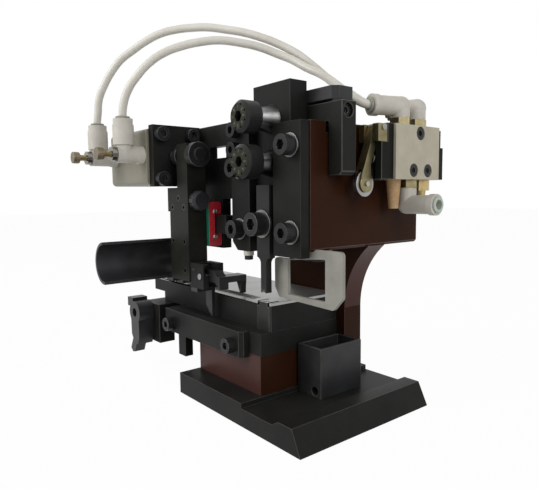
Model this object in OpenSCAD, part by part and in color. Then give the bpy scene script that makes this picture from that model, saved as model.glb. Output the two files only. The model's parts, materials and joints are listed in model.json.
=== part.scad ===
// Pneumatic side feed crimp die, in millimetres.
// +X is the operator's right, -Y is the front and +Z is up.
// The origin is the middle of the base plate's underside.

/* [Base plate] */
// Width of the base plate at its underside
base_w = 90; // [80:1:110]
// Depth of the base plate from front to back
base_d = 80; // [72:1:100]
// Thickness of the base plate
base_h = 10.3; // [8:0.1:14]
// Width that the right bevel takes off the top
base_bevel = 5; // [2:0.5:8]
// Width of the lip right of the channel
lip_w = 8; // [5:0.5:12]
// Width of the channel for the lower tooling
channel_w = 24.5; // [20:0.5:28]
// Depth of the channel
channel_h = 2.3; // [1:0.1:4]

/* [Frame casting] */
// Width of the foot
foot_w = 50.5; // [44:0.5:54]
// Height of the foot above the base plate
foot_h = 17.7; // [14:0.1:24]
// Distance from the middle to the foot's front face
foot_front = 28.5; // [26:0.5:32]
// Distance from the middle to the column's back face
column_back = 30.5; // [28:0.5:36]
// Thickness of the column from front to back
column_t = 11.5; // [9:0.5:14]
// Width of the straight part of the column
column_w = 42; // [36:0.5:46]
// Height at which the column starts to flare
flare_z = 44; // [40:1:52]
// Width of the head
head_w = 50; // [46:0.5:60]
// Height of the head's underside above the bench
head_z = 74.8; // [70:0.1:84]
// Height of the head itself
head_h = 54.2; // [50:0.1:60]
// Distance from the middle to the head's front face
head_front = 17; // [16:0.5:20]
// Distance from the middle to the head's back face
head_back = 55; // [50:0.5:60]

/* [Ram] */
// Distance of the crimp axis right of the middle
axis_x = 1.5; // [0:0.5:4]
// Width of the ram
ram_w = 25.4; // [22:0.1:28]
// Depth of the ram from front to back
ram_d = 25.4; // [22:0.1:27]
// Height of the ram up to its rear ledge
ram_h = 62; // [58:0.5:66]
// Depth of the tall block at the top of the ram
ram_top_d = 9.7; // [8:0.1:11]
// Height of the tall block above the rear ledge
ram_top_h = 9.4; // [7:0.1:12]
// Height of the ram's underside above the head's underside
ram_lift = 1.2; // [1:0.1:3]
// Running clearance of the ram in its guide
ram_fit = 0.05; // [0.02:0.01:0.1]
// Thickness of the trip slab on the ledge
slab_t = 5.4; // [4:0.1:7]
// Distance from the crimp axis to the slab's right end
slab_reach = 29.5; // [26:0.1:32]
// Depth of the trip slab from front to back
slab_d = 10.5; // [9:0.1:12]
// Depth of the trip bar from front to back
bar_d = 8.5; // [7:0.1:10]
// Height of the trip bar's arm
arm_h = 7.9; // [7:0.1:10]
// Width of the trip bar's leg
leg_w = 7.7; // [6:0.1:9]
// Length of the trip bar's leg
leg_h = 30.4; // [26:0.1:34]
// Gap between the head's side and the trip bar
leg_gap = 0.7; // [0.5:0.1:1.5]

/* [Cover plates] */
// Thickness of both cover plates
cover_t = 5; // [4:0.5:7]
// Width of the left cover plate
left_cover_w = 13.7; // [11:0.1:14.5]
// Height of the left cover plate
left_cover_h = 59; // [54:0.5:62]
// Width of the right cover plate
right_cover_w = 17.5; // [16:0.1:17.8]
// Height of the right cover plate
right_cover_h = 56; // [52:0.5:58]
// Distance that the plates reach below the head
cover_drop = 2; // [1:0.1:3]
// Size of the chamfer at the left plate's corner
cover_chamfer = 4; // [2:0.5:6]

/* [Crimp tooling] */
// Width of the crimpers where they bolt to the ram
crimper_w = 9; // [8:0.1:10.4]
// Width of the crimpers at the tip
crimper_tip_w = 3.8; // [3.4:0.1:6]
// Thickness of each crimper
crimper_t = 1.5; // [1.2:0.1:1.6]
// Height of the crimper's tip above the bench in the pose shown
tip_z = 55; // [54.6:0.1:57]
// Height at which the crimpers start to narrow
crimper_neck_z = 71; // [68:0.5:76]
// Thickness of the pad on the ram that the crimpers lie on
ram_pad_t = 2.2; // [1.5:0.1:2.3]
// Height of the top of the crimpers
crimper_top_z = 103; // [100:0.5:104]
// Height of the crimper bolt
crimper_bolt_z = 86; // [84:0.5:90]
// Width of the anvil
anvil_w = 8.4; // [7:0.1:10]
// Depth of the anvil from front to back
anvil_d = 8.7; // [7:0.1:10]

/* [Dials] */
// Diameter of the upper dial
upper_dial_d = 13.8; // [12:0.1:16]
// Diameter of the lower dial
lower_dial_d = 14.8; // [12:0.1:16]
// Distance of the upper dial's centre below the ram's top
upper_dial_drop = 15.6; // [14:0.1:17]
// Distance between the two dials' centres
dial_pitch = 18.9; // [17.5:0.1:20]
// Length of each dial
dial_l = 8; // [7:0.5:10]
// Distance of the dials' faces from the middle
dial_face = 35; // [34:0.5:38]
// Diameter of the dials' shafts
dial_shaft_d = 7.6; // [6:0.1:8.2]
// Diameter of the dials' cones where they meet the ram
dial_cone_d = 12.8; // [10:0.1:13]

/* [Feed track] */
// Length of the track base left of the foot's right face
track_l = 79; // [74:1:84]
// Thickness of the track base
track_h = 10; // [8:0.5:12]
// Height of the track block on the base
block_h = 13; // [11:0.5:16]
// Length of the track block
block_l = 111; // [104:1:116]
// Distance from the middle to the block's front face
block_front = 22.7; // [21:0.1:24]
// Distance from the middle to the block's back face
block_back = 18.6; // [14:0.1:18.8]
// Thickness of the front rail
rail_t = 4.5; // [3:0.5:6]
// Height of the front rail
rail_h = 12; // [10:0.5:13]
// Length of the front rail
rail_l = 70; // [64:0.5:74]
// Gap between the rail's right end and the foot's right end
rail_inset = 8.5; // [6:0.5:12]
// Height of the rail's left leg below the rail
rail_leg_h = 10.5; // [6:0.5:12]
// Width of the rail's left leg
rail_leg_w = 7; // [5:0.5:9]

/* [Feed cylinder] */
// Side of the square cylinder body
cyl_s = 28.5; // [26:0.5:29]
// Length of the cylinder body
cyl_l = 44; // [40:1:50]
// Bore of the cylinder
cyl_bore = 16; // [12:0.5:18]
// Diameter of the piston rod
rod_d = 8; // [6:0.5:10]
// Height of the cylinder's axis
cyl_z = 118.5; // [118:0.1:119.5]
// Distance of the cylinder's axis in front of the middle
cyl_y = 31.5; // [31:0.1:32]
// Thickness of the plate that carries the cylinder
cyl_plate_t = 4.5; // [3:0.5:6]
// Distance from the middle to the left face of that plate
cyl_plate_x = 63; // [62:0.5:65]

/* [Bracket] */
// Thickness of the bracket plate
bracket_t = 5; // [4:0.5:6]
// Height of the bracket's top edge
bracket_top = 134; // [131:0.5:136]
// Height of the bracket's lower edge
bracket_low = 97; // [94:0.5:100]
// Height of the lower end of the bracket's leg
leg_low = 72; // [68:0.5:74]
// Width of the bracket's leg
bracket_leg_w = 21; // [18:0.5:23]

/* [Feed carriage] */
// Stroke of the carriage
feed_stroke = 12; // [8:1:14]
// Distance from the middle to the post's right face
post_x = 40; // [39:0.5:41]
// Width of the post
post_w = 18; // [15:0.5:18.5]
// Depth of the post from front to back
post_d = 10.5; // [9:0.1:11]
// Height of the post's lower end
post_low = 56.5; // [56:0.1:58]
// Width of the guide block
guide_w = 22; // [18:0.5:23]
// Length of the guide block with its end caps
guide_l = 24; // [22:0.5:26]
// Height of the guide block above its plate
guide_h = 7; // [6:0.1:7.5]
// Width of the guide rail
guide_rail_w = 9; // [7:0.5:11]
// Height of the guide rail
guide_rail_h = 5; // [4:0.1:5.2]

/* [Valve] */
// Depth of the valve body from front to back
valve_d = 32; // [28:0.5:34]
// Width of the valve body
valve_w = 13.5; // [12:0.5:15]
// Height of the valve body
valve_h = 24; // [21:0.5:26]
// Height of the valve body's underside
valve_z = 105; // [103:0.5:106]
// Distance from the middle to the valve body's front face
valve_y = 21; // [20:0.5:22]
// Diameter of the valve's roller
roller_d = 11; // [9:0.5:11.5]

/* [Air tubes] */
// Outer diameter of the air tubes
tube_d = 4; // [4:0.1:4.2]

/* [Hidden] */
$fn = 48;

// Heads and shanks of the metric cap screws: shank, head and head height
m2 = [2, 3.6, 2.2];
m3 = [3, 5.5, 3];
m4 = [4, 7, 4];
m5 = [5, 8.5, 5];
m6 = [6, 10.3, 6];
thread_gap = 0.05;
skin = 0.3;

// Base plate and foot
base_right = base_w / 2;
channel_right = base_right - base_bevel - lip_w;
channel_left = channel_right - channel_w;
channel_slope = 4;
foot_right = channel_left - 1;
foot_left = foot_right - foot_w;
foot_z = base_h + foot_h;
column_front = column_back - column_t;
column_right = 12;
column_left = column_right - column_w;
base_screw_x = [foot_left + 7, foot_right - 9];
base_screw_y = [-foot_front + 7, column_front + 5];

// Head and its guide
head_right = head_w / 2 + 1.5;
head_left = head_right - head_w;
head_top = head_z + head_h;
flare_h = head_z - flare_z;
flare_w = head_right - column_right;
flare_r = (flare_h * flare_h + flare_w * flare_w) / (2 * flare_w);
ram_back = ram_d - head_front;
guide_half = ram_w / 2 + ram_fit;

// Ram and its trip pieces
ram_z = head_z + ram_lift;
ledge_z = ram_z + ram_h;
slab_front = -head_front + ram_top_d;
arm_top = ledge_z - 1.1;
arm_low = arm_top - arm_h;
leg_left = head_right + leg_gap;
leg_right = leg_left + leg_w;
leg_bottom = arm_top - leg_h;
bar_front = slab_front;
bar_back = bar_front + bar_d;
ram_down = 3.6;
ram_up = 26.4;
notch_gap = 0.8;

// Cover plates
cover_back = -head_front;
cover_front = cover_back - cover_t;
cover_low = head_z - cover_drop;
left_cover_x = head_left + 1;
left_cover_right = left_cover_x + left_cover_w;
right_cover_right = head_right - 0.6;
right_cover_left = right_cover_right - right_cover_w;
washer_t = 1;
left_screw_x = left_cover_x + left_cover_w / 2;
right_screw_x = right_cover_right - 5.7;
low_screw_z = head_z + 8.2;
high_screw_z = head_z + 44.2;
mid_screw_z = head_z + 36.4;

// Crimp tooling
crimper_back = cover_back - ram_pad_t;
crimper_face = crimper_back - 2 * crimper_t - 0.1;
track_z = foot_z + track_h;
strip_z = track_z + block_h;
anvil_front = -block_front;

// Dials and their shafts
upper_dial_z = ledge_z + ram_top_h - upper_dial_drop;
lower_dial_z = upper_dial_z - dial_pitch;
dial_back = -dial_face + dial_l;
shaft_seat = 6;

// Track and rail
block_right = foot_right + 0.5;
block_left = block_right - block_l;
track_left = foot_right - track_l;
rail_front = -foot_front - rail_t;
rail_right = foot_right - rail_inset;
rail_left = rail_right - rail_l;
rail_low = track_z - rail_h;
rail_leg_x = foot_left - 7 - rail_leg_w;

// Feed cylinder, its plate and the bracket
plate_left = -cyl_plate_x;
plate_right = plate_left + cyl_plate_t;
cyl_left = plate_left - cyl_l;
bracket_front = cover_back;
bracket_back = bracket_front + bracket_t;
bracket_left = plate_left - 1.5;
bracket_right = axis_x - ram_w / 2 - 1.3;
plate_low = cyl_z - cyl_s / 2 - 0.7;
plate_top = cyl_z + cyl_s / 2 + 1.5;
plate_front = -cyl_y - cyl_s / 2 + 1.5;
corner_bolt = 10.3;

// Carriage, its guide and its finger
guide_gap = 1.5;
guide_back = bracket_front - guide_gap;
post_back = guide_back - guide_h;
guide_rail_front = bracket_front - guide_rail_h;
post_front = post_back - post_d;
post_right = -post_x;
post_left = post_right - post_w;
post_top = plate_low - 0.8;
bar_low = post_top - 12;
bar_top = cyl_z + 5.5;
bar_left = post_right - 10;
guide_z = leg_low + guide_w / 2 + 1.5;
cap_t = 4;
seal_t = 0.6;
guide_right = post_right + 2.4;
guide_left = guide_right - guide_l;
guide_rail_left = post_left - 0.9;
guide_rail_right = guide_right + 9.6;
bracket_leg_right = post_right + 2.1;

// Valve and its lever
valve_left = head_right;
valve_right = valve_left + valve_w;
valve_top = valve_z + valve_h;
valve_back = valve_y + valve_d;
valve_cap_t = 8.1;
pivot_y = 14.6;
pivot_z = 127;
roller_y = 7.9;
roller_z = 103;
lever_x = valve_left + 6.5;

// Routes of the two air tubes, from a speed controller to a valve elbow
route_a = [
    [-101.5, -55.5, 133], [-101.5, -55.5, 138], [-101, -55, 144], [-100, -54.5, 151], [-97.5, -52.5, 158],
    [-94, -49.5, 165], [-89.5, -46, 171], [-84, -41.5, 175.5], [-78.5, -37, 179.5],
    [-72, -31.5, 183], [-65.5, -26, 184.5], [-59, -20, 185], [-52, -14.5, 184.5],
    [-45.5, -8.5, 183], [-38.5, -2.5, 181], [-31.5, 3.5, 178], [-24.5, 9.5, 174],
    [-17, 15.5, 168.5], [-9, 20, 161], [-1.5, 24, 153.5], [7.5, 28.6, 146.3], [14, 32.4, 141.2],
    [18, 34.9, 138.8], [22.18, 37.51, 137.9], [26.4, 40.15, 137.9],
];
route_b = [
    [-68, -55.5, 133], [-68, -55.5, 138], [-67.5, -55, 144], [-66, -53, 151], [-63, -49.5, 157.5],
    [-59, -44.5, 164], [-54.5, -39, 168.5], [-50, -31.5, 172], [-44.5, -24, 174],
    [-39.5, -16, 175], [-34, -7.5, 174], [-28.5, 0, 172], [-22.5, 6.5, 168.5], [-16, 10.5, 165],
    [-8, 13, 160], [2, 13.5, 155], [9, 12.2, 151], [15.5, 10.8, 147], [21, 10.5, 143.2],
    [25, 12.3, 140], [27.3, 15.2, 138.3], [28.7, 18.7, 137.9], [29.9, 22.4, 137.9],
];

// Turns a child's +Z to the front
module to_front() { rotate([90, 0, 0]) children(); }

// Turns a child's +Z to the right
module to_right() { rotate([0, 90, 0]) children(); }

// Turns a child's +Z to the back
module to_back() { rotate([-90, 0, 0]) children(); }

// A box given by its lowest and highest corners
module span(low, high) { translate(low) cube(high - low); }

// An upright plate drawn in X and Z, from one Y to another
module slab_xz(y0, y1) { translate([0, y1, 0]) rotate([90, 0, 0]) linear_extrude(y1 - y0) children(); }

// A cap screw whose head stands on the plane Z = 0
module cap_screw(size, length) {
    difference() {
        cylinder(d = size[1], h = size[2]);
        translate([0, 0, size[2] / 2]) cylinder(d = size[0] * 0.95, h = size[2], $fn = 6);
    }
    translate([0, 0, -length]) cylinder(d = size[0], h = length + 0.01);
}

// The hole that a screw's shank goes into
module shank_hole(size, length) { translate([0, 0, -length]) cylinder(d = size[0] + 2 * thread_gap, h = length + 0.5); }

// A flat washer on the plane Z = 0
module washer(outer, inner, thick) {
    difference() {
        cylinder(d = outer, h = thick);
        translate([0, 0, -1]) cylinder(d = inner, h = thick + 2);
    }
}

// Places of the cover screws: X, Z, size and whether a washer lies under the head
cover_places = [
    [left_screw_x, low_screw_z, m5, true],
    [left_screw_x, mid_screw_z, m5, true],
    [left_screw_x - 2.2, mid_screw_z + 8.4, m4, false],
    [left_screw_x - 2.2, mid_screw_z + 17.4, m4, false],
    [right_screw_x, low_screw_z, m5, true],
    [right_screw_x, high_screw_z, m5, true],
];

// Puts a child at each cover screw, facing the front
module at_cover_screws() {
    for (place = cover_places)
        translate([place[0], cover_front, place[1]]) to_front() {
            $size = place[2];
            $washer = place[3] ? washer_t : 0;
            children();
        }
}

module base_plate() {
    color("#1d1d1f") difference() {
        slab_xz(-base_d / 2, base_d / 2) polygon([
            [-base_right, 0], [base_right, 0], [base_right - base_bevel, base_h],
            [channel_right, base_h], [channel_right - channel_slope, base_h - channel_h],
            [channel_left, base_h - channel_h], [channel_left, base_h], [-base_right, base_h],
        ]);
        for (x = base_screw_x, y = base_screw_y) translate([x, y, 0]) {
            translate([0, 0, -1]) cylinder(d = m5[1] + 0.5, h = m5[2] + 1.3);
            cylinder(d = m5[0] + 0.5, h = base_h + 1);
        }
    }
}

module base_screws() {
    color("#2a2a2c") for (x = base_screw_x, y = base_screw_y)
        translate([x, y, m5[2] + skin]) rotate([180, 0, 0]) cap_screw(m5, base_h - m5[2] + 8);
}

// The column's outline: straight sides below and a flare on the right that meets the head
module column_outline() {
    polygon([
        [column_left, base_h], [column_right, base_h], [column_right, flare_z],
        for (i = [1:12]) let (a = i / 12 * asin(flare_h / flare_r))
            [column_right + flare_r * (1 - cos(a)), flare_z + flare_r * sin(a)],
        [head_right, head_z + 1], [head_left, head_z + 1], [head_left, head_z],
        [column_left, head_z - 14],
    ]);
}

module frame_casting() {
    notch_front = bar_front - notch_gap;
    notch_back = bar_back + notch_gap;
    color("#38231c") difference() {
        union() {
            span([foot_left, -foot_front, base_h], [foot_right, column_back, foot_z]);
            slab_xz(column_front, column_back) column_outline();
            difference() {
                span([head_left, -head_front, head_z], [head_right, head_back, head_top]);
                for (x = [head_left, head_right])
                    translate([x, 0, head_z]) rotate([0, 45, 0]) cube([1.6, 4 * head_back, 1.6], center = true);
            }
        }
        span([axis_x - guide_half, -head_front - 1, head_z - 1], [axis_x + guide_half, ram_back, head_top + 1]);
        span([axis_x, notch_front, arm_low - ram_down - 1], [head_right + 1, notch_back, head_top + 1]);
        span([head_left - 1, bracket_front - 1, bracket_low - skin],
            [axis_x - guide_half + 1, bracket_back + skin, head_top + 1]);
        for (x = base_screw_x, y = base_screw_y) translate([x, y, base_h]) rotate([180, 0, 0]) shank_hole(m5, 8.4);
        at_cover_screws() shank_hole($size, cover_t + 10);
        valve_bolts() shank_hole(m3, valve_w + 8);
        guard_bolts() shank_hole(m3, 6);
    }
}

// The ram has a tall block at the front, a ledge behind it and a pad for the crimpers
module ram_block() {
    color("#232325") difference() {
        union() {
            span([axis_x - crimper_w / 2, crimper_back, ram_z], [axis_x + crimper_w / 2, 0, crimper_top_z]);
            span([axis_x - ram_w / 2, -head_front, ram_z], [axis_x + ram_w / 2, ram_back - ram_fit, ledge_z]);
            span([axis_x - ram_w / 2, -head_front, ledge_z - 1],
                [axis_x + ram_w / 2, slab_front - skin / 3, ledge_z + ram_top_h]);
        }
        for (z = [lower_dial_z, upper_dial_z])
            translate([axis_x, -head_front + shaft_seat, z]) to_front()
                cylinder(d = dial_shaft_d + 0.1, h = shaft_seat + 1);
        translate([axis_x, crimper_back, crimper_bolt_z]) to_front() shank_hole(m6, 14 + ram_pad_t);
        trip_bolts() shank_hole(m3, slab_t + 8);
        translate([axis_x + ram_w / 2, arm_screw_y, arm_screw_z]) to_right() shank_hole(m3, 7);
    }
}

// Puts a child at the two screws that hold the trip slab down
module trip_bolts() {
    for (x = [axis_x - 8, axis_x + 3]) translate([x, slab_front + bar_d / 2, ledge_z + slab_t - 3.2]) children();
}
arm_screw_y = bar_front + 3.8;
arm_screw_z = arm_top - 3.9;

module trip_slab() {
    left = axis_x - ram_w / 2;
    right = axis_x + slab_reach;
    back = slab_front + slab_d;
    color("#2b2c2f") difference() {
        translate([0, 0, ledge_z]) linear_extrude(slab_t) polygon([
            [left, slab_front], [right - 2.3, slab_front], [right, slab_front + 2.7], [right, back], [left, back],
        ]);
        trip_bolts() {
            cylinder(d = m3[1] + 0.5, h = 6);
            shank_hole(m3, slab_t + 1);
        }
    }
}

// The trip bar is an angle: its arm runs to the right through the cheek and its leg hangs down outside
module trip_bar() {
    color("#242527") difference() {
        slab_xz(bar_front, bar_back) polygon([
            [axis_x + ram_w / 2, arm_low], [leg_left, arm_low], [leg_left, leg_bottom],
            [leg_right - 1.5, leg_bottom], [leg_right, leg_bottom + 1.5], [leg_right, arm_top],
            [axis_x + ram_w / 2, arm_top],
        ]);
        translate([leg_right, arm_screw_y, arm_screw_z]) to_right() {
            shank_hole(m3, 40);
            translate([0, 0, -m3[2] - 1.5]) cylinder(d = m3[1] + 0.3, h = m3[2] + 2);
        }
    }
}

module trip_screws() {
    color("#2a2a2c") {
        trip_bolts() cap_screw(m3, slab_t + 3);
        translate([leg_right - m3[2] - 1.5, arm_screw_y, arm_screw_z]) to_right()
            cap_screw(m3, leg_right - m3[2] - 1.5 - axis_x - ram_w / 2 + 6);
    }
}

module left_cover_plate() {
    color("#262628") difference() {
        slab_xz(cover_front, cover_back) polygon([
            [left_cover_x + cover_chamfer, cover_low], [left_cover_right, cover_low],
            [left_cover_right, cover_low + left_cover_h], [left_cover_x, cover_low + left_cover_h],
            [left_cover_x, cover_low + cover_chamfer],
        ]);
        at_cover_screws() shank_hole($size, cover_t + 1);
        translate([gib_x, (cover_front + cover_back) / 2, cover_low]) cylinder(d = 3.1, h = 14, center = true);
    }
}

module right_cover_plate() {
    color("#262628") difference() {
        span([right_cover_left, cover_front, cover_low - 0.5],
            [right_cover_right, cover_back, cover_low + right_cover_h]);
        at_cover_screws() shank_hole($size, cover_t + 1);
    }
}

module cover_screws() {
    color("#323234") at_cover_screws() translate([0, 0, $washer]) cap_screw($size, cover_t + 9 + $washer);
}

module cover_washers() {
    color("#b9babc") at_cover_screws()
        if ($washer > 0) washer($size[1] + 1.6, $size[0] + 0.2, washer_t);
}

gib_x = left_cover_right - 4.2;

// The bush and screw under the left plate take up the play of the ram's gib
module gib_adjuster() {
    translate([gib_x, (cover_front + cover_back) / 2, cover_low]) {
        color("#c9c5bd") translate([0, 0, -2.2]) cylinder(d = 4.8, h = 2.2);
        color("#2a2a2c") translate([0, 0, -4.2]) cylinder(d = 4, h = 2.1);
        color("#2a2a2c") translate([0, 0, -0.1]) cylinder(d = 3, h = 6);
    }
}

// Outline of a crimper with its forming mouth, about the crimp axis
crimper_fillet = 3;
module crimper_outline(mouth) {
    difference() {
        offset(r = -crimper_fillet) offset(r = crimper_fillet) polygon([
            [axis_x - crimper_w / 2, crimper_neck_z], [axis_x - crimper_tip_w / 2, crimper_neck_z],
            [axis_x - crimper_tip_w / 2, tip_z], [axis_x + crimper_tip_w / 2, tip_z],
            [axis_x + crimper_tip_w / 2, crimper_neck_z], [axis_x + crimper_w / 2, crimper_neck_z],
            [axis_x + crimper_w / 2, crimper_top_z], [axis_x - crimper_w / 2, crimper_top_z],
        ]);
        for (side = [-1, 1]) translate([axis_x + side * mouth / 4, tip_z + mouth]) circle(d = mouth / 2);
        polygon([
            [axis_x - mouth * 0.65, tip_z - 1], [axis_x + mouth * 0.65, tip_z - 1],
            [axis_x + mouth / 2, tip_z + mouth], [axis_x - mouth / 2, tip_z + mouth],
        ]);
        translate([axis_x, crimper_bolt_z]) circle(d = m6[0] + 0.3);
    }
}

module wire_crimper() {
    color("#2e2e30") slab_xz(crimper_back - crimper_t, crimper_back) crimper_outline(1.4);
}

module insulation_crimper() {
    color("#2e2e30") slab_xz(crimper_face, crimper_face + crimper_t) crimper_outline(1.8);
}

crimper_washer_t = 1.2;

module crimper_bolt() {
    color("#323234") translate([axis_x, crimper_face - crimper_washer_t, crimper_bolt_z]) to_front()
        cap_screw(m6, 2 * crimper_t + crimper_washer_t + 12);
}

module crimper_washer() {
    color("#d2d3d5") translate([axis_x, crimper_face, crimper_bolt_z]) to_front()
        washer(12.5, m6[0] + 0.2, crimper_washer_t);
}

// The anvil is let into the track block and has a saddle for each crimper
module anvil() {
    back = anvil_front + anvil_d;
    color("#8b8d90") difference() {
        span([axis_x - anvil_w / 2, anvil_front, track_z], [axis_x + anvil_w / 2, back, strip_z]);
        for (y = [crimper_face + crimper_t / 2, crimper_back - crimper_t / 2])
            translate([axis_x, y, strip_z + 0.6]) to_front() cylinder(d = 2.2, h = crimper_t, center = true);
        for (side = [-1, 1])
            span([axis_x + side * anvil_w / 2 - 1.4, anvil_front - 1, strip_z - 2],
                [axis_x + side * anvil_w / 2 + 1.4, back - 2.5, strip_z + 1]);
    }
}

// A dial is a barrel with a chamfered face and a hexagon socket, a cone and a shaft into the ram
module dial(diameter, height) {
    shaft_end = -head_front + shaft_seat - 0.5;
    color("#2c2d2c") translate([axis_x, 0, height]) difference() {
        union() {
            translate([0, -dial_face, 0]) to_back() rotate_extrude() polygon([
                [0, 0], [diameter / 2 - 1.4, 0], [diameter / 2, 1.4], [diameter / 2, dial_l], [0, dial_l],
            ]);
            translate([0, dial_back - 0.1, 0]) to_back() cylinder(d = dial_shaft_d, h = shaft_end - dial_back + 0.1);
            translate([0, dial_back - 0.01, 0]) to_back()
                cylinder(d1 = dial_shaft_d, d2 = dial_cone_d, h = -head_front - 0.1 - dial_back);
        }
        translate([0, -dial_face - 1, 0]) to_back() cylinder(d = 5, h = 5, $fn = 6);
        for (i = [0:7]) rotate([0, i * 45 + 22.5, 0]) translate([diameter / 2 - 1.9, -dial_face - 1, 0])
            to_back() cylinder(d = 1, h = 1.5, $fn = 16);
    }
}

module upper_dial() { dial(upper_dial_d, upper_dial_z); }

module lower_dial() { dial(lower_dial_d, lower_dial_z); }

module track_base() {
    color("#1b1b1d") difference() {
        span([track_left, -foot_front, foot_z], [block_right, column_front - skin, track_z]);
        rail_places() shank_hole(m4, rail_t + 4);
        translate([thumb_x, thumb_y, foot_z - 1]) cylinder(d = m4[0] + 2 * thread_gap, h = 8);
    }
}

// The track block carries the strip; its front corner is cut out for the anvil
module track_block() {
    fit = 0.05;
    color("#77787a") difference() {
        span([block_left, -block_front, track_z], [block_right, block_back, strip_z]);
        span([axis_x - anvil_w / 2 - fit, -block_front - 1, track_z - 1],
            [axis_x + anvil_w / 2 + fit, anvil_front + anvil_d + fit, strip_z + 1]);
        span([block_left - 1, -block_front - 1, track_z - 1], [block_left + 12, -block_front + 8, track_z + 5]);
        span([track_left - 6, -block_front - 1, strip_z - 1.2], [block_right - 14, -block_front + 6, strip_z + 1]);
    }
}

// Puts a child at each screw of the front rail
module rail_places() {
    for (place = [[rail_left + 7, rail_low + 4.5], [rail_right - 7, rail_low + 5]])
        translate([place[0], rail_front, place[1]]) to_front() children();
}

module front_rail() {
    color("#2b2b2d") difference() {
        slab_xz(rail_front, -foot_front) polygon([
            [rail_left, track_z], [rail_left, rail_low + 2], [rail_left + 2, rail_low],
            [rail_leg_x, rail_low], [rail_leg_x, rail_low - rail_leg_h],
            [rail_leg_x + rail_leg_w, rail_low - rail_leg_h], [rail_leg_x + rail_leg_w, rail_low],
            [rail_right, rail_low], [rail_right, track_z],
        ]);
        rail_places() shank_hole(m4, rail_t + 1);
        translate([rail_right, rail_front, 0]) rotate([0, 0, 45]) cube([2.4, 2.4, 4 * track_z], center = true);
    }
}

module rail_screws() {
    color("#3a3a3c") rail_places() cap_screw(m4, rail_t + 3.6);
}

guard_y = -16;
guard_t = 1.6;
guard_left = 1.9;
guard_right = 43.6;
guard_low = strip_z + 0.4;
window_left = guard_left + 8.8;
window_low = guard_low + 3.5;
flange_left = axis_x + guide_half + 1;

// Puts a child at each screw that holds the guard's flange under the head
module guard_bolts() {
    for (x = [flange_left + 3.5, head_right - 3.5])
        translate([x, guard_y + guard_t + 5, head_z - guard_t]) rotate([180, 0, 0]) children();
}

// The guard is bent sheet: a window plate right of the crimpers and a flange under the head
module guard() {
    color("#cfcabf") difference() {
        union() {
            slab_xz(guard_y, guard_y + guard_t) difference() {
                offset(r = 1.8) offset(delta = -1.8) polygon([
                    [guard_left, head_z - 4], [guard_left, guard_low + 6], [guard_left + 3, guard_low + 1.5],
                    [guard_right - 5, guard_low + 0.6], [guard_right, guard_low + 6],
                    [guard_right, head_z + 1.2], [leg_left, head_z + 1.2], [leg_left, head_z], [flange_left, head_z],
                    [flange_left, head_z - 4],
                ]);
                offset(r = 0.6) offset(delta = -0.6)
                    polygon([[window_left, 70.2], [window_left, window_low], [34, window_low], [34, 72.4]]);
            }
            span([flange_left, guard_y, head_z - guard_t], [head_right, guard_y + guard_t + 10, head_z]);
        }
        guard_bolts() translate([0, 0, -guard_t - 1]) cylinder(d = m3[0] + 0.4, h = guard_t + 2);
    }
}

holder_right = channel_right - 9;
holder_top = foot_z + 3;

// The die holder stands in the channel and has an open pocket for the lower tooling
module die_holder() {
    wall = 1.6;
    front = -7.7;
    floor_z = base_h - channel_h;
    color("#161617") difference() {
        span([channel_left + 0.2, front, floor_z], [holder_right, column_front - skin, holder_top]);
        span([channel_left + 0.2 + wall, front + wall, holder_top - 18],
            [holder_right - wall, column_front - wall - skin, holder_top + 1]);
        translate([holder_right - 4, front, floor_z + 3]) to_front() cylinder(d = 4, h = 8, center = true);
    }
}

// Puts a child on each corner of the cylinder's bolt square
module at_cylinder_bolts() {
    for (y = [-1, 1], z = [-1, 1])
        translate([plate_right, -cyl_y + y * corner_bolt * 0.85, cyl_z + z * corner_bolt * 1.07]) to_right() children();
}

module cylinder_body() {
    color("#b5b2a6") difference() {
        translate([cyl_left, -cyl_y, cyl_z]) to_right() linear_extrude(cyl_l) offset(2.5) offset(-2.5)
            square(cyl_s, center = true);
        translate([cyl_left + 3, -cyl_y, cyl_z]) to_right() cylinder(d = cyl_bore, h = cyl_l - 8);
        translate([cyl_left + 3, -cyl_y, cyl_z]) to_right() cylinder(d = rod_d + 0.1, h = cyl_l);
        at_cylinder_bolts() shank_hole(m4, cyl_plate_t + 8);
        at_ports() translate([0, 0, -4]) cylinder(d = 5, h = 5);
    }
}

module cylinder_plate() {
    color("#202022") difference() {
        span([plate_left, plate_front, plate_low], [plate_right, bracket_front, plate_top]);
        translate([plate_left - 1, -cyl_y, cyl_z]) to_right() cylinder(d = rod_d + 0.4, h = cyl_plate_t + 2);
        at_cylinder_bolts() shank_hole(m4, cyl_plate_t + 1);
        bracket_places() shank_hole(m3, bracket_t + 7.4);
    }
}

module cylinder_screws() {
    color("#37373a") at_cylinder_bolts() cap_screw(m4, cyl_plate_t + 7);
}

// The rod, its piston and the threaded end that the carriage is clamped on
module piston_rod() {
    start = cyl_left + 7;
    color("#9d9fa2") translate([start, -cyl_y, cyl_z]) to_right() {
        cylinder(d = cyl_bore - 0.1, h = 5);
        cylinder(d = rod_d, h = bar_left - start);
        cylinder(d = rod_d - 2, h = post_right + 5.5 - start);
    }
}

module rod_nuts() {
    bore = rod_d - 2 + 0.1;
    color("#3b3b3d") translate([0, -cyl_y, cyl_z]) to_right() {
        translate([0, 0, post_right]) washer(12, bore, 4.5);
        translate([0, 0, bar_left - 3.2]) washer(11, rod_d + 0.1, 3.2);
    }
}

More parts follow.
